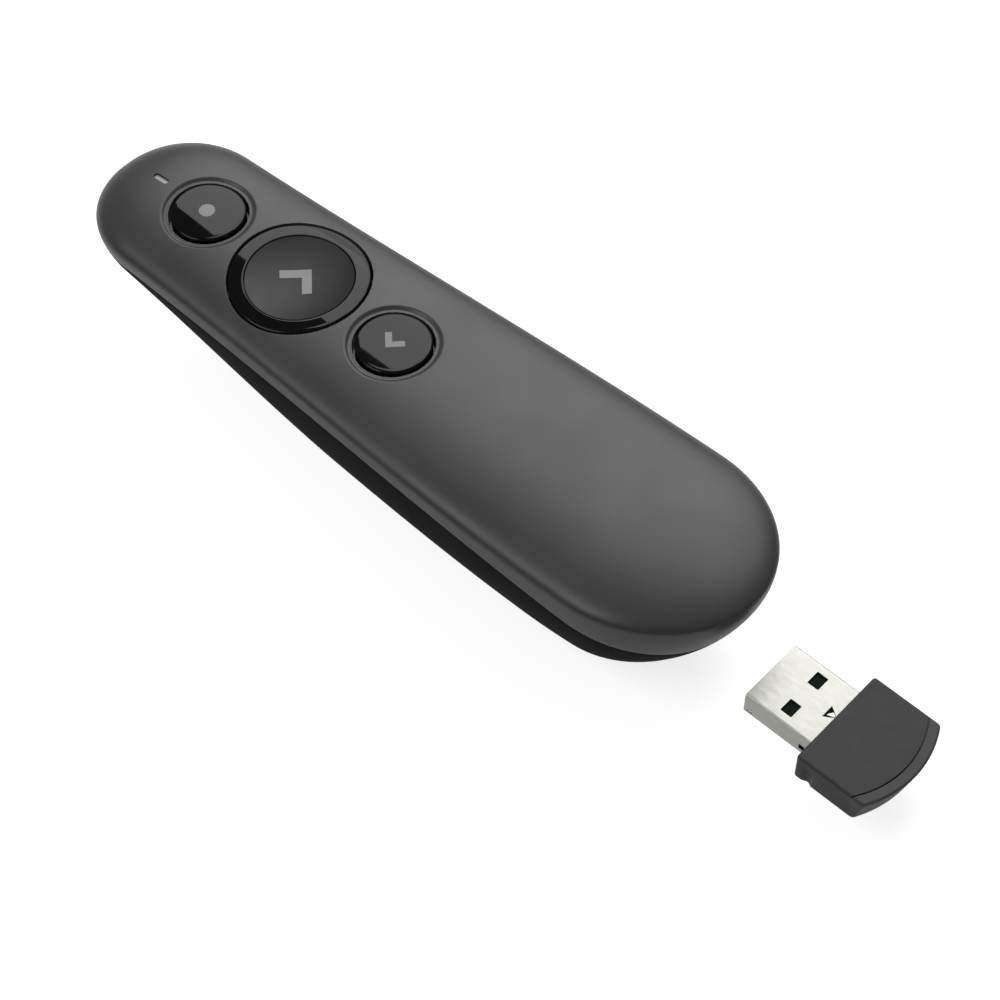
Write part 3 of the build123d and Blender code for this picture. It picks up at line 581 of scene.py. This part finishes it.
def openBore(points, faces, offset):  # faces inside the bore go, and their border moves out on to its circle
    seam = along("seam", bore["seamY"]) + offset
    ahead = {k for k, point in enumerate(points) if point[1] > casing["noseFrom"]}
    inside = {k for k in ahead if hypot(points[k][0], points[k][2] - bore["z"]) < bore["radius"]}
    kept = [face for face in faces if not all(k in inside for k in face)]
    for k in {k for face in kept for k in face} & inside:
        x, y, z = points[k]
        angle = atan2(z - bore["z"], x)
        side = copysign(1, x)
        x, z = bore["radius"] * cos(angle), bore["z"] + bore["radius"] * sin(angle)
        if z < seam:  # no further down than where the circle meets the seam
            x, z = side * sqrt(bore["radius"] ** 2 - (seam - bore["z"]) ** 2), seam
        points[k] = (x, noseAt(x, z), z)
    return points, kept


controls = {  # the three keys and the status light on the crown, and the dished surround of the small keys
    "laserY": 47.3, "nextY": 26.3, "backY": 5.3, "slotY": 58.6,
    "dishFloor": 7.15, "dishRim": 7.9, "dishDepth": 0.4,
}
openings = {  # the crown is meshed anew within reach, with rings of points at these distances from the hole
    "small": {
        "radius": 6.7, "straight": 0.0, "reach": 8.35, "steps": 48,
        "rings": (0, 0.25, 0.45, 0.6, 0.75, 0.9, 1.05, 1.2, 1.4),
    },
    "next": {"radius": 11.9, "straight": 0.0, "reach": 12.75, "steps": 72, "rings": (0, 0.25, 0.5)},
    "slot": {"radius": 0.55, "straight": 1.1, "reach": 1.25, "steps": 12, "rings": (0, 0.15, 0.35)},
}


def crownHeight(x, y):  # the crown with the dished surrounds sunk into it
    for centre in (controls["laserY"], controls["backY"]):
        radius = hypot(x, y - centre)
        if radius < controls["dishRim"]:
            share = min(1.0, (controls["dishRim"] - radius) / (controls["dishRim"] - controls["dishFloor"]))
            return crownAt(x, y) - controls["dishDepth"] * share * share * (3 - 2 * share)
    return crownAt(x, y)


def makeUpperShell():
    offset = casing["seamGap"] / 2
    places = columns(offset)
    low, high = 12, 26  # steps from the seam to the widest line, and on to the crown
    points = []
    for y in places:
        first = turnAtHeight(y, along("seam", y) + offset)
        turns = [first * (1 - k / low) for k in range(low)] + [pi / 2 * k / high for k in range(high + 1)]
        side = [sidePoint(y, turn) for turn in turns]
        points += [(-x, y, z) for x, z in side] + [(x, y, z) for x, z in reversed(side[:-1])]
    faces = gridFaces(2 * (low + high), len(places))
    order = (("small", "laserY"), ("small", "backY"), ("next", "nextY"), ("slot", "slotY"))
    holes = [dict(openings[kind], y=controls[place]) for kind, place in order]
    points, faces = openRound(points, faces, holes, crownHeight)
    points, faces = openBore(points, faces, offset)
    shell = makePiece(
        "upperCasing", points, faces, softTouchPaint, "handset", "soft_touch_case", ("upper_shell",))
    thicken(shell, casing["wall"])
    soften(shell, casing["lip"])
    settle(shell)


makeUpperShell()
print("upper casing made")

door = {
    "half": 7.5, "rear": -29.5, "front": 17.4, "gap": 0.15, "inner": 2.4, "edge": 0.25, "widthShare": 0.55,
    "catchLong": 9.0, "catchWide": 3.2, "catchDeep": 0.8,
}
dockCut = {"halfWidth": 10.71, "halfHeight": 4.21, "corner": 1.0, "z": 9.2, "rear": -75.0, "front": -40.0}


def makeLowerShell():
    offset = -casing["seamGap"] / 2
    rear, front = door["rear"] - door["gap"], door["front"] + door["gap"]
    start = seamEnd(offset, casing["tailEnd"]) - hair
    places = [y for y in columns(offset, (rear, front)) if start <= y < bore["behind"]]
    side, floor, ahead = 30, 12, 5  # steps down the side, across half the floor, and from there to the bore
    points = []
    for y in places:
        first = turnAtHeight(y, along("seam", y) + offset)
        width = min(door["half"] + door["gap"], door["widthShare"] * sizes(y)[0])
        edge = max(min(turnAtWidth(y, width), first), -pi / 2)
        across = [sidePoint(y, first + (edge - first) * k / side) for k in range(side + 1)]
        width = across[-1][0]
        inward = [width * (1 - k / floor) for k in range(1, floor + 1)]
        across += [(x, bellyAt(x, y)) for x in inward]
        points += [(-x, y, z) for x, z in across] + [(x, y, z) for x, z in reversed(across[:-1])]
    half = side + floor
    first = -asin((bore["z"] - along("seam", bore["seamY"]) - offset) / bore["radius"])
    turns = [first + (-pi / 2 - first) * k / half for k in range(half + 1)]
    ring = [(bore["radius"] * cos(turn), bore["z"] + bore["radius"] * sin(turn)) for turn in turns]
    for step in range(1, ahead + 1):  # from the last section forward on to the bore's circle
        section = [between(a, b, step / ahead) for a, b in zip(across, ring)]
        points += [(-x, noseAt(x, z), z) for x, z in section]
        points += [(x, noseAt(x, z), z) for x, z in reversed(section[:-1])]
    opening = {i for i, y in enumerate(places[:-1]) if rear - hair <= y < front - hair}
    kept = []
    for n, face in enumerate(gridFaces(2 * half, len(places) + ahead)):
        line, column = divmod(n, 2 * half)
        if not (line in opening and side <= column < 2 * half - side):
            kept.append(face)
    shell = makePiece(
        "lowerCasing", points, kept, softTouchBellyPaintedShade, "handset", "soft_touch_case", ("lower_shell",))
    thicken(shell, casing["wall"])
    soften(shell, casing["lip"])
    mouth = roundedBox(dockCut["halfWidth"], dockCut["halfHeight"], dockCut["corner"], 0, dockCut["z"])
    cutAway(shell, mouth, dockCut["rear"], dockCut["front"], "Y")
    settle(shell)


makeLowerShell()
print("lower casing made")


def makeDoor():
    across, count = 20, 48
    half, long = door["half"], door["front"] - door["rear"]
    points = []
    for i in range(count + 1):
        y = door["rear"] + long * i / count
        rows = [half * (2 * j / across - 1) for j in range(across + 1)]
        points += [(x, y, bellyAt(x, y)) for x in rows]
    points, faces = slab(points, across, count + 1, lambda z: door["inner"])
    panel = makePiece(
        "batteryDoor", points, faces, softTouchBellyPaintedShade, "door", "soft_touch_case", ("battery_door",))
    soften(panel, door["edge"])
    # the thumb recess, a slot across the door near its rear end
    radius, middle = door["catchWide"] / 2, door["rear"] + door["catchWide"]
    straight, angles = door["catchLong"] / 2 - radius, [pi * k / 12 for k in range(13)]
    right = [(straight + radius * sin(angle), middle + radius * cos(angle)) for angle in angles]
    cutAway(panel, right + [(-x, 2 * middle - y) for x, y in right], -1.0, door["catchDeep"])
    settle(panel)


makeDoor()

tongues = {"x": 4.6, "half": 1.5, "reach": 1.1, "corner": 0.2, "edge": 0.15, "low": 2.3, "high": 3.3}
for side, name in ((-1, "doorTongueLeft"), (1, "doorTongueRight")):  # hooks that the door turns on
    place = side * tongues["x"], door["front"]
    outline = roundedBox(tongues["half"], tongues["reach"], tongues["corner"], *place)
    solid = prism(outline, tongues["low"], tongues["high"])
    tongue = makePiece(name, *solid, softTouchBellyPaintedShade, "door", "soft_touch_case")
    soften(tongue, tongues["edge"])
    settle(tongue)
print("door made")

# A key's heights count from the crown, and are negative below it. Only stemEnd is a level above the floor.
smallKey = {
    "radius": 6.22, "edge": 0.42, "flange": 7.5, "flangeTop": -2.3, "flangeThick": 0.6, "stem": 1.6,
    "stemEnd": 18.4, "rings": (0.12, 0.25, 0.4, 0.55, 0.7, 0.82, 0.92), "count": 96,
}
nextKey = {
    "radius": 11.6, "edge": 0.4, "flange": 12.7, "flangeTop": -2.75, "flangeThick": 0.6, "stem": 1.6,
    "stemEnd": 18.47, "pad": 9.01, "padFloor": -2.45, "padWall": -0.25, "padEdge": 0.15, "count": 144,
}
centre = 0.0001  # the radius of a ring that closes a turned shape


def turned(y, profile, count):  # rings of radius, height, and whether they follow the crown's shape
    points, middle = [], crownAt(0, y)
    for radius, height, follows in profile:
        ring = ringOf(radius, y, count)
        points += [(a, b, (crownAt(a, b) if follows else middle) + height) for a, b in ring]
    return points, bandFaces(len(profile), count)


def edgeRound(radius, edge, steps, outward=True):  # a quarter turn from the face into the wall
    side = -1 if outward else 1
    angles = [pi / 2 * k / steps for k in range(steps + 1)]
    return [(radius + side * edge * (1 - sin(angle)), -edge * (1 - cos(angle)), True) for angle in angles]


def skirt(key, y):  # the wall below the face, the flange that holds the key in, and the stem
    under, end = key["flangeTop"] - key["flangeThick"], key["stemEnd"] - crownAt(0, y)
    outline = [
        (key["radius"], key["flangeTop"]), (key["flange"], key["flangeTop"]), (key["flange"], under),
        (key["stem"], under), (key["stem"], end), (centre, end),
    ]
    return [(radius, height, False) for radius, height in outline]


def makeSmallKey(name, y, node, body):
    key = smallKey
    inner = key["radius"] - key["edge"]
    face = [(inner * share, 0.0, True) for share in (centre, *key["rings"])]
    profile = face + edgeRound(key["radius"], key["edge"], 5) + skirt(key, y)
    solid = turned(y, profile, key["count"])
    settle(makePiece(name, *solid, glossBlack, body, "gloss_black", (node,), smooth=50))


makeSmallKey("laserKey", controls["laserY"], "laser_button", "laser_key")
makeSmallKey("backKey", controls["backY"], "back_button", "back_key")


def makeNextKey():
    key, y = nextKey, controls["nextY"]
    flat = key["radius"] - key["edge"] - key["pad"]
    well = [(centre, key["padFloor"], False), (key["pad"], key["padFloor"], False)]
    well += [(key["pad"], key["padWall"], True)] + edgeRound(key["pad"], key["padEdge"], 3, False)[::-1]
    face = [(key["pad"] + flat * k / 5, 0.0, True) for k in range(1, 5)]
    profile = well + face + edgeRound(key["radius"], key["edge"], 5) + skirt(key, y)
    solid = turned(y, profile, key["count"])
    settle(makePiece(
        "nextKeyRing", *solid, glossBlack, "next_key", "gloss_black", ("next_button",), smooth=50))


makeNextKey()

pad = {"radius": 8.93, "depth": 1.25, "power": 2.2, "edge": 0.12, "sink": 0.06, "under": -2.42, "rings": 26}


def padHeight(x, y):  # thumb dish: level with the ring at its edge, deepest in the middle
    share = min(1.0, hypot(x, y - controls["nextY"]) / pad["radius"])
    return crownAt(x, y) - pad["sink"] - pad["depth"] * (1 - share ** pad["power"])


def makePad():
    y, count = controls["nextY"], nextKey["count"]
    radii = [centre] + [pad["radius"] * k / pad["rings"] for k in range(1, pad["rings"])]
    radii += [pad["radius"] - pad["edge"] / 2, pad["radius"]]
    points = []
    for radius in radii:
        drop = pad["edge"] if radius == pad["radius"] else 0.0
        points += [(a, b, padHeight(a, b) - drop) for a, b in ringOf(radius, y, count)]
    for radius in (pad["radius"], centre):
        points += [(a, b, crownAt(0, y) + pad["under"]) for a, b in ringOf(radius, y, count)]
    faces = bandFaces(len(radii) + 2, count)
    dish = makePiece(
        "nextKeyPad", points, faces, satinBlack, "next_key", "satin_black", ("next_button_pad",), smooth=50)
    settle(dish)


makePad()
print("keys made")

symbols = {  # thin printed pieces; a chevron's arms run back from its tip at 45 degrees
    "dotRings": (centre, 0.5, 0.95, 1.35), "dotAhead": 0.35, "chevronAhead": 0.3,
    "nextTip": 3.04, "nextArm": 5.2, "nextStroke": 1.6, "backTip": -1.6, "backArm": 3.1, "backStroke": 1.1,
    "thick": 0.03, "lift": 0.012,
}


def makeChevron(name, key, facing, height, body):
    rows, across = 14, 4
    tip, arm, stroke = (symbols[key + size] for size in ("Tip", "Arm", "Stroke"))
    middle, legX, legY = controls[key + "Y"] + symbols["chevronAhead"], -facing * arm / sqrt(2), arm / sqrt(2)
    inX, inY = -facing * stroke / sqrt(2), stroke / sqrt(2)
    outer = [(tip + legX, middle + legY), (tip, middle), (tip + legX, middle - legY)]
    inner = [(tip + legX + inX, middle + legY - inY), (tip + 2 * inX, middle)]
    inner.append((tip + legX + inX, middle - legY + inY))
    points = []
    for k in range(2 * rows + 1):
        leg = min(k // rows, 1)
        share = k / rows - leg
        a, b = (between(edge[leg], edge[leg + 1], share) for edge in (outer, inner))
        for j in range(across + 1):
            x, y = between(a, b, j / across)
            points.append((x, y, height(x, y) + symbols["lift"]))
    solid = slab(points, across, 2 * rows + 1, lambda z: z - symbols["thick"])
    settle(makePiece(name, *solid, printedInk, body, "light_plastic"))


def makeDot():
    y, count, radii = controls["laserY"] + symbols["dotAhead"], 48, symbols["dotRings"]
    top = [(a, b, crownAt(a, b) + symbols["lift"]) for radius in radii for a, b in ringOf(radius, y, count)]
    under = [(a, b, c - symbols["thick"]) for a, b, c in top[-count:] + top[:count]]
    faces = bandFaces(len(radii) + 2, count)
    settle(makePiece("laserDot", top + under, faces, printedInk, "laser_key", "light_plastic"))


makeDot()
makeChevron("nextChevron", "next", 1, padHeight, "next_key")
makeChevron("backChevron", "back", -1, crownAt, "back_key")
print("symbols made")

plug = {  # standard A plug: drawn sheet with two latch windows, a tab by the cap, side notches and dimples
    "halfWidth": 6.0, "halfHeight": 2.25, "corner": 0.36, "sheet": 0.3, "z": 9.2, "tip": -72.45, "end": -87.2,
    "windowHalfLong": 1.0, "windowHalfWide": 1.25, "windowCorner": 0.12, "windowX": 3.2, "windowY": -78.95,
    "tab": ((-1.15, -83.26), (1.15, -83.26), (0.0, -85.1)), "tabFrom": 10.2, "edge": 0.07, "above": 20.0,
    "cutFrom": 5.5, "cutTo": 6.3, "sideCuts": ((7.9, 9.1, -83.95, -82.95), (7.55, 8.05, -74.0, -73.15)),
}


def makePlug():
    box, sheet = (plug["halfWidth"], plug["halfHeight"], plug["corner"]), plug["sheet"]
    outer = roundedBox(*box, 0, plug["z"], 6)
    inner = roundedBox(box[0] - sheet, box[1] - sheet, box[2] - 0.9 * sheet, 0, plug["z"], 6)
    count = len(outer)
    points = [(x, y, z) for y in (plug["tip"], plug["end"]) for ring in (outer, inner) for x, z in ring]
    faces = []
    for k in range(count):
        n = (k + 1) % count
        faces += [(k, n, 2 * count + n, 2 * count + k), (count + k, 3 * count + k, 3 * count + n, count + n)]
        faces += [(k, count + k, count + n, n), (2 * count + k, 2 * count + n, 3 * count + n, 3 * count + k)]
    sleeve = makePiece(
        "plugSleeve", points, faces, platedSteel, "receiver", "plug_nickel", ("usb_shell",), smooth=30)
    long, wide = plug["windowHalfLong"], plug["windowHalfWide"]
    for x in (-plug["windowX"], plug["windowX"]):
        window = roundedBox(wide, long, plug["windowCorner"], x, plug["windowY"], 3)
        cutAway(sleeve, window, 0.0, plug["above"])
    cutAway(sleeve, plug["tab"], plug["tabFrom"], plug["above"])
    for side in (-1, 1):
        near, far = side * plug["cutFrom"], side * plug["cutTo"]
        for low, high, rear, front in plug["sideCuts"]:
            cutAway(sleeve, [(near, low), (far, low), (far, high), (near, high)], rear, front, "Y")
    soften(sleeve, plug["edge"], 2, 40)
    settle(sleeve, True)


makePlug()

tabLeaf = {"wide": 1.5, "long": 1.5, "z": 11.36, "thick": 0.2, "y": -84.1, "slope": 0.2}


def makeTabLeaf():  # the tongue of sheet that is pressed down inside the plug's triangular hole
    wide, y = tabLeaf["wide"], tabLeaf["y"]
    rear, front = y - tabLeaf["long"] / 2, y + tabLeaf["long"] / 2
    outline = [(-wide / 4, front), (wide / 2, y), (0.0, rear)]
    points, faces = prism(outline, tabLeaf["z"] - tabLeaf["thick"], tabLeaf["z"])
    points = [(x, y, z - tabLeaf["slope"] * (y - rear)) for x, y, z in points]
    settle(makePiece("plugTab", points, faces, platedSteel, "receiver", "plug_nickel"))


makeTabLeaf()

cap = {
    "half": 9.35, "front": -84.85, "sideEnd": -97.35, "under": 1.6, "end": -99.95, "low": 6.35, "high": 12.05,
    "corner": 0.5, "edge": 0.75, "z": 9.2, "over": 1.0, "arcSteps": 40, "edgeSteps": 5, "sharpAngle": 60,
    "notchStart": 1.0, "notchLong": 2.6, "notchDeep": 0.55, "notchBelow": 1.5,
    "grooveIn": 1.95, "grooveWide": 0.24, "grooveDeep": 0.35, "grooveReach": 9.75, "grooveSteps": 48,
    # pockets for the sleeve and for the board: half width, half height, corner, steps, how far back
    "pocketFront": -80.0, "pockets": ((6.1, 2.35, 0.65, 5, -87.25), (5.75, 1.95, 0.1, 2, -92.9)),
}
sagitta = cap["sideEnd"] - cap["end"]
cap["radius"] = (cap["half"] ** 2 + sagitta ** 2) / (2 * sagitta)
cap["centre"] = cap["end"] + cap["radius"]

# moulded ABS with a fine spark texture; the lip behind the groove is paler and coarser, with 0.32 mm pits
capPlastic = {
    "colour": "#3f3f40", "second": "#434344", "roughness": 0.5, "roughSpan": 0.04, "ior": 1.4,
    "driftSize": 3.0, "grainSize": 0.14, "grainStrength": 0.18, "grainDepth": 0.008,
    "lipGrain": 0.32, "lipStrength": 0.5, "lipDepth": 0.05, "lipColour": "#525253",
}


def capLook(name, look):
    material, tree, shader, place = newMaterial(name, look)
    ramp, bump = mottle(tree, shader, place, look)
    flat = addNode(tree, "ShaderNodeVectorMath", {0: place}, {1: (1.0, 1.0, 0.0)}, operation="MULTIPLY")
    middle = (0.0, cap["centre"] * mm, 0.0)
    reach = addNode(tree, "ShaderNodeVectorMath", {0: flat}, {1: middle}, operation="DISTANCE")
    groove = (cap["radius"] - cap["grooveIn"]) * mm
    far = reach.outputs["Value"]
    onLip = addNode(tree, "ShaderNodeMath", {0: far}, {1: groove}, operation="GREATER_THAN")
    pits = addNode(tree, "ShaderNodeTexVoronoi", {"Vector": place}, {"Scale": perMetre(look["lipGrain"])})
    height = addNode(tree, "ShaderNodeMath", {0: pits.outputs["Distance"], 1: onLip}, operation="MULTIPLY")
    lip = addNode(
        tree, "ShaderNodeBump", {"Height": height, "Normal": bump},
        {"Strength": look["lipStrength"], "Distance": look["lipDepth"] * mm})
    link(tree, lip, shader, "Normal")
    paler = addNode(
        tree, "ShaderNodeMix", {"Factor": onLip, "A": ramp.outputs["Result"]},
        {"B": toLinear(look["lipColour"])}, data_type="RGBA")
    link(tree, paler.outputs["Result"], shader, "Base Color")
    return material


def endArc(radius, steps, half):  # the cap's curved end, from its right side to its left
    reach = asin(half / radius)
    angles = [reach * (1 - 2 * k / steps) for k in range(steps + 1)]
    return [(radius * sin(angle), cap["centre"] - radius * cos(angle)) for angle in angles]


def makeCap():
    # the right side from the front back to the end, the curved end, then the left side mirrored
    middleX, middleY, corner = cap["half"] - cap["corner"], cap["front"] - cap["corner"], cap["corner"]
    angles = [pi / 2 * (1 - k / 4) for k in range(5)]
    right = [(middleX + corner * cos(angle), middleY + corner * sin(angle)) for angle in angles]
    end = endArc(cap["radius"], cap["arcSteps"], cap["half"])
    outline = right + end + [(-x, y) for x, y in reversed(right)]
    points, faces = prism(outline, cap["low"], cap["high"])
    for k, (x, y, z) in enumerate(points):
        if z == cap["low"] and y < cap["sideEnd"] + hair:  # the end leans in below, like the belly
            points[k] = (x, y + cap["under"], z)
    body = makePiece(
        "receiverCap", points, faces, capLook("sparkTexturedAbs", capPlastic), "receiver", "receiver_plastic",
        ("receiver_cap",), smooth=35)
    soften(body, cap["edge"], cap["edgeSteps"], cap["sharpAngle"])
    groove, half, far = cap["radius"] - cap["grooveIn"], cap["grooveWide"] / 2, cap["half"] + cap["over"]
    arcs = [endArc(groove + side * half, cap["grooveSteps"], cap["grooveReach"]) for side in (1, -1)]
    cutAway(body, arcs[0] + arcs[1][::-1], cap["high"] - cap["grooveDeep"], cap["high"] + cap["over"])
    start, long, depth = cap["front"] - cap["notchStart"], cap["notchLong"], cap["notchDeep"]
    shares = [k / 16 for k in range(17)]
    for side in (-1, 1):  # detent notches low on both sides
        waves = [depth * (1 - cos(2 * pi * share)) / 2 for share in shares]
        dip = [(side * (cap["half"] - wave), start - long * share) for wave, share in zip(waves, shares)]
        notch = [(side * far, dip[0][1])] + dip + [(side * far, dip[-1][1])]
        cutAway(body, notch, cap["low"] - cap["over"], cap["high"] - cap["notchBelow"])
    for halfWidth, halfHeight, corner, steps, back in cap["pockets"]:
        outline = roundedBox(halfWidth, halfHeight, corner, 0, cap["z"], steps)
        cutAway(body, outline, back, cap["pocketFront"], "Y")
    settle(body, True)


makeCap()
print("receiver made")

finishes = {  # for the solids that keep their own shape
    "led_light_pipe": milkyPolycarbonate, "main_board": boardGreen, "usb_board": boardPaintedShade,
    "tact_switches": switchSteel, "radio_chip": chipResin, "receiver_chip": chipResin,
    "crystal_can": switchSteel, "board_parts": ceramic, "status_led": clearResin, "case_screws": screwSteel,
    "laser_barrel": turnedBrass, "laser_diode": turnedBrass, "laser_bezel": glossBlack,
    "laser_window": windowGlass, "battery_tray": mouldedBlack, "aaa_battery": printedLabel,
    "battery_contact_plate": contactNickel, "battery_contact_spring": contactNickel,
    "receiver_dock": mouldedBlack, "usb_contacts": goldPlate, "laser_plunger": mouldedBlack,
    "next_plunger": mouldedBlack, "back_plunger": mouldedBlack,
}
for name, material in finishes.items():
    mesh = nodes[name].data
    mesh.materials.clear()
    mesh.materials.append(material)
    mesh.shade_smooth()
    mesh.set_sharp_from_angle(angle=radians(35))
print("finishes set on", len(finishes), "solids")

# The studio is in metres. The floor's glow lifts it to white for the camera, and is weaker in a mirroring
# surface. Bounce is the colour with which it throws light back up.
studio = {
    "floor": "#f4f4f4", "bounce": "#5c5c5c", "floorGlow": 0.75, "mirrorGlow": 0.3, "floorHalf": 3.0,
    "floorZ": -0.0001, "world": "#ffffff", "worldStrength": 0.18,
    "lamps": (  # all hang level: name, centre, sizes across, radiance
        ("overheadSoftbox", (0.80, 0.60, 1.0), (0.70, 1.20), 3.3),
        ("overheadReflector", (0.37, 0.51, 1.0), (0.16, 0.22), 3.4),
        ("rightSoftbox", (1.85, 1.0, 1.0), (1.4, 1.6), 2.3),
        ("leftSoftbox", (-0.8, 0.5, 1.0), (0.7, 0.7), 3.2),
    ),
}


def floorLook():  # matte paper, near white to the camera
    material = bpy.data.materials.new("mattePaperFloor")
    material.use_nodes = True
    tree = material.node_tree
    tree.nodes.clear()
    ray = addNode(tree, "ShaderNodeLightPath").outputs
    seen = addNode(
        tree, "ShaderNodeMath", {0: ray["Is Camera Ray"], 1: ray["Is Glossy Ray"]}, operation="MAXIMUM")
    through = addNode(tree, "ShaderNodeMath", {0: seen, 1: ray["Is Transmission Ray"]}, operation="MAXIMUM")
    colours = {"A": toLinear(studio["bounce"]), "B": toLinear(studio["floor"])}
    colour = addNode(tree, "ShaderNodeMix", {"Factor": through}, colours, data_type="RGBA")
    matte = addNode(tree, "ShaderNodeBsdfDiffuse", {"Color": colour.outputs["Result"]})
    low = addNode(tree, "ShaderNodeMath", {0: through}, {1: studio["mirrorGlow"]}, operation="MULTIPLY")
    strength = addNode(
        tree, "ShaderNodeMath", {0: ray["Is Camera Ray"], 2: low},
        {1: studio["floorGlow"] - studio["mirrorGlow"]}, operation="MULTIPLY_ADD")
    glow = addNode(tree, "ShaderNodeEmission", {"Strength": strength})
    both = addNode(tree, "ShaderNodeAddShader", {0: matte, 1: glow})
    addNode(tree, "ShaderNodeOutputMaterial", {"Surface": both})
    return material


reach = studio["floorHalf"]
floorMesh = bpy.data.meshes.new("floor")
corners = [(-reach, -reach, 0), (reach, -reach, 0), (reach, reach, 0), (-reach, reach, 0)]
floorMesh.from_pydata(corners, [], [(0, 1, 2, 3)])
floorMesh.materials.append(floorLook())
floor = addObject("floor", floorMesh)
floor.location.z = studio["floorZ"]

for name, place, (wide, long), radiance in studio["lamps"]:
    data = bpy.data.lights.new(name, "AREA")
    data.shape, data.size, data.size_y = "RECTANGLE", wide, long
    data.energy = radiance * pi * wide * long
    addObject(name, data).location = place

world = bpy.data.worlds.new("studioRoom")
bpy.context.scene.world = world
world.use_nodes = True
world.node_tree.nodes.clear()
ray = addNode(world.node_tree, "ShaderNodeLightPath").outputs
power = addNode(  # white behind the floor's edge, dim as a light
    world.node_tree, "ShaderNodeMath", {0: ray["Is Camera Ray"]},
    {1: 1 - studio["worldStrength"], 2: studio["worldStrength"]}, operation="MULTIPLY_ADD")
air = addNode(
    world.node_tree, "ShaderNodeBackground", {"Strength": power}, {"Color": toLinear(studio["world"])})
addNode(world.node_tree, "ShaderNodeOutputWorld", {"Surface": air})

view = {  # degrees, and mm for the lens, the distance and the point looked at
    "azimuth": -47.744, "elevation": 54.692, "roll": 0.162,
    "lens": 98.76, "sensor": 36.0, "distance": 444.234, "aimX": 1.592, "aimY": -15.947,
}
azimuth, elevation, roll = (radians(view[name]) for name in ("azimuth", "elevation", "roll"))
right = Vector((cos(azimuth), sin(azimuth), 0))
back = Vector((sin(azimuth) * cos(elevation), -cos(azimuth) * cos(elevation), sin(elevation)))
up = back.cross(right)
right, up = right * cos(roll) + up * sin(roll), up * cos(roll) - right * sin(roll)
spot = Vector((view["aimX"], view["aimY"], 0)) * mm + back * view["distance"] * mm
lens = bpy.data.cameras.new("studioCamera")
lens.lens, lens.sensor_width, lens.clip_start, lens.clip_end = view["lens"], view["sensor"], 0.01, 20.0
camera = addObject("studioCamera", lens)
camera.matrix_world = Matrix.Translation(spot) @ Matrix((right, up, back)).transposed().to_4x4()
bpy.context.scene.camera = camera
bpy.context.scene.view_settings.view_transform = "Standard"
print("studio set")
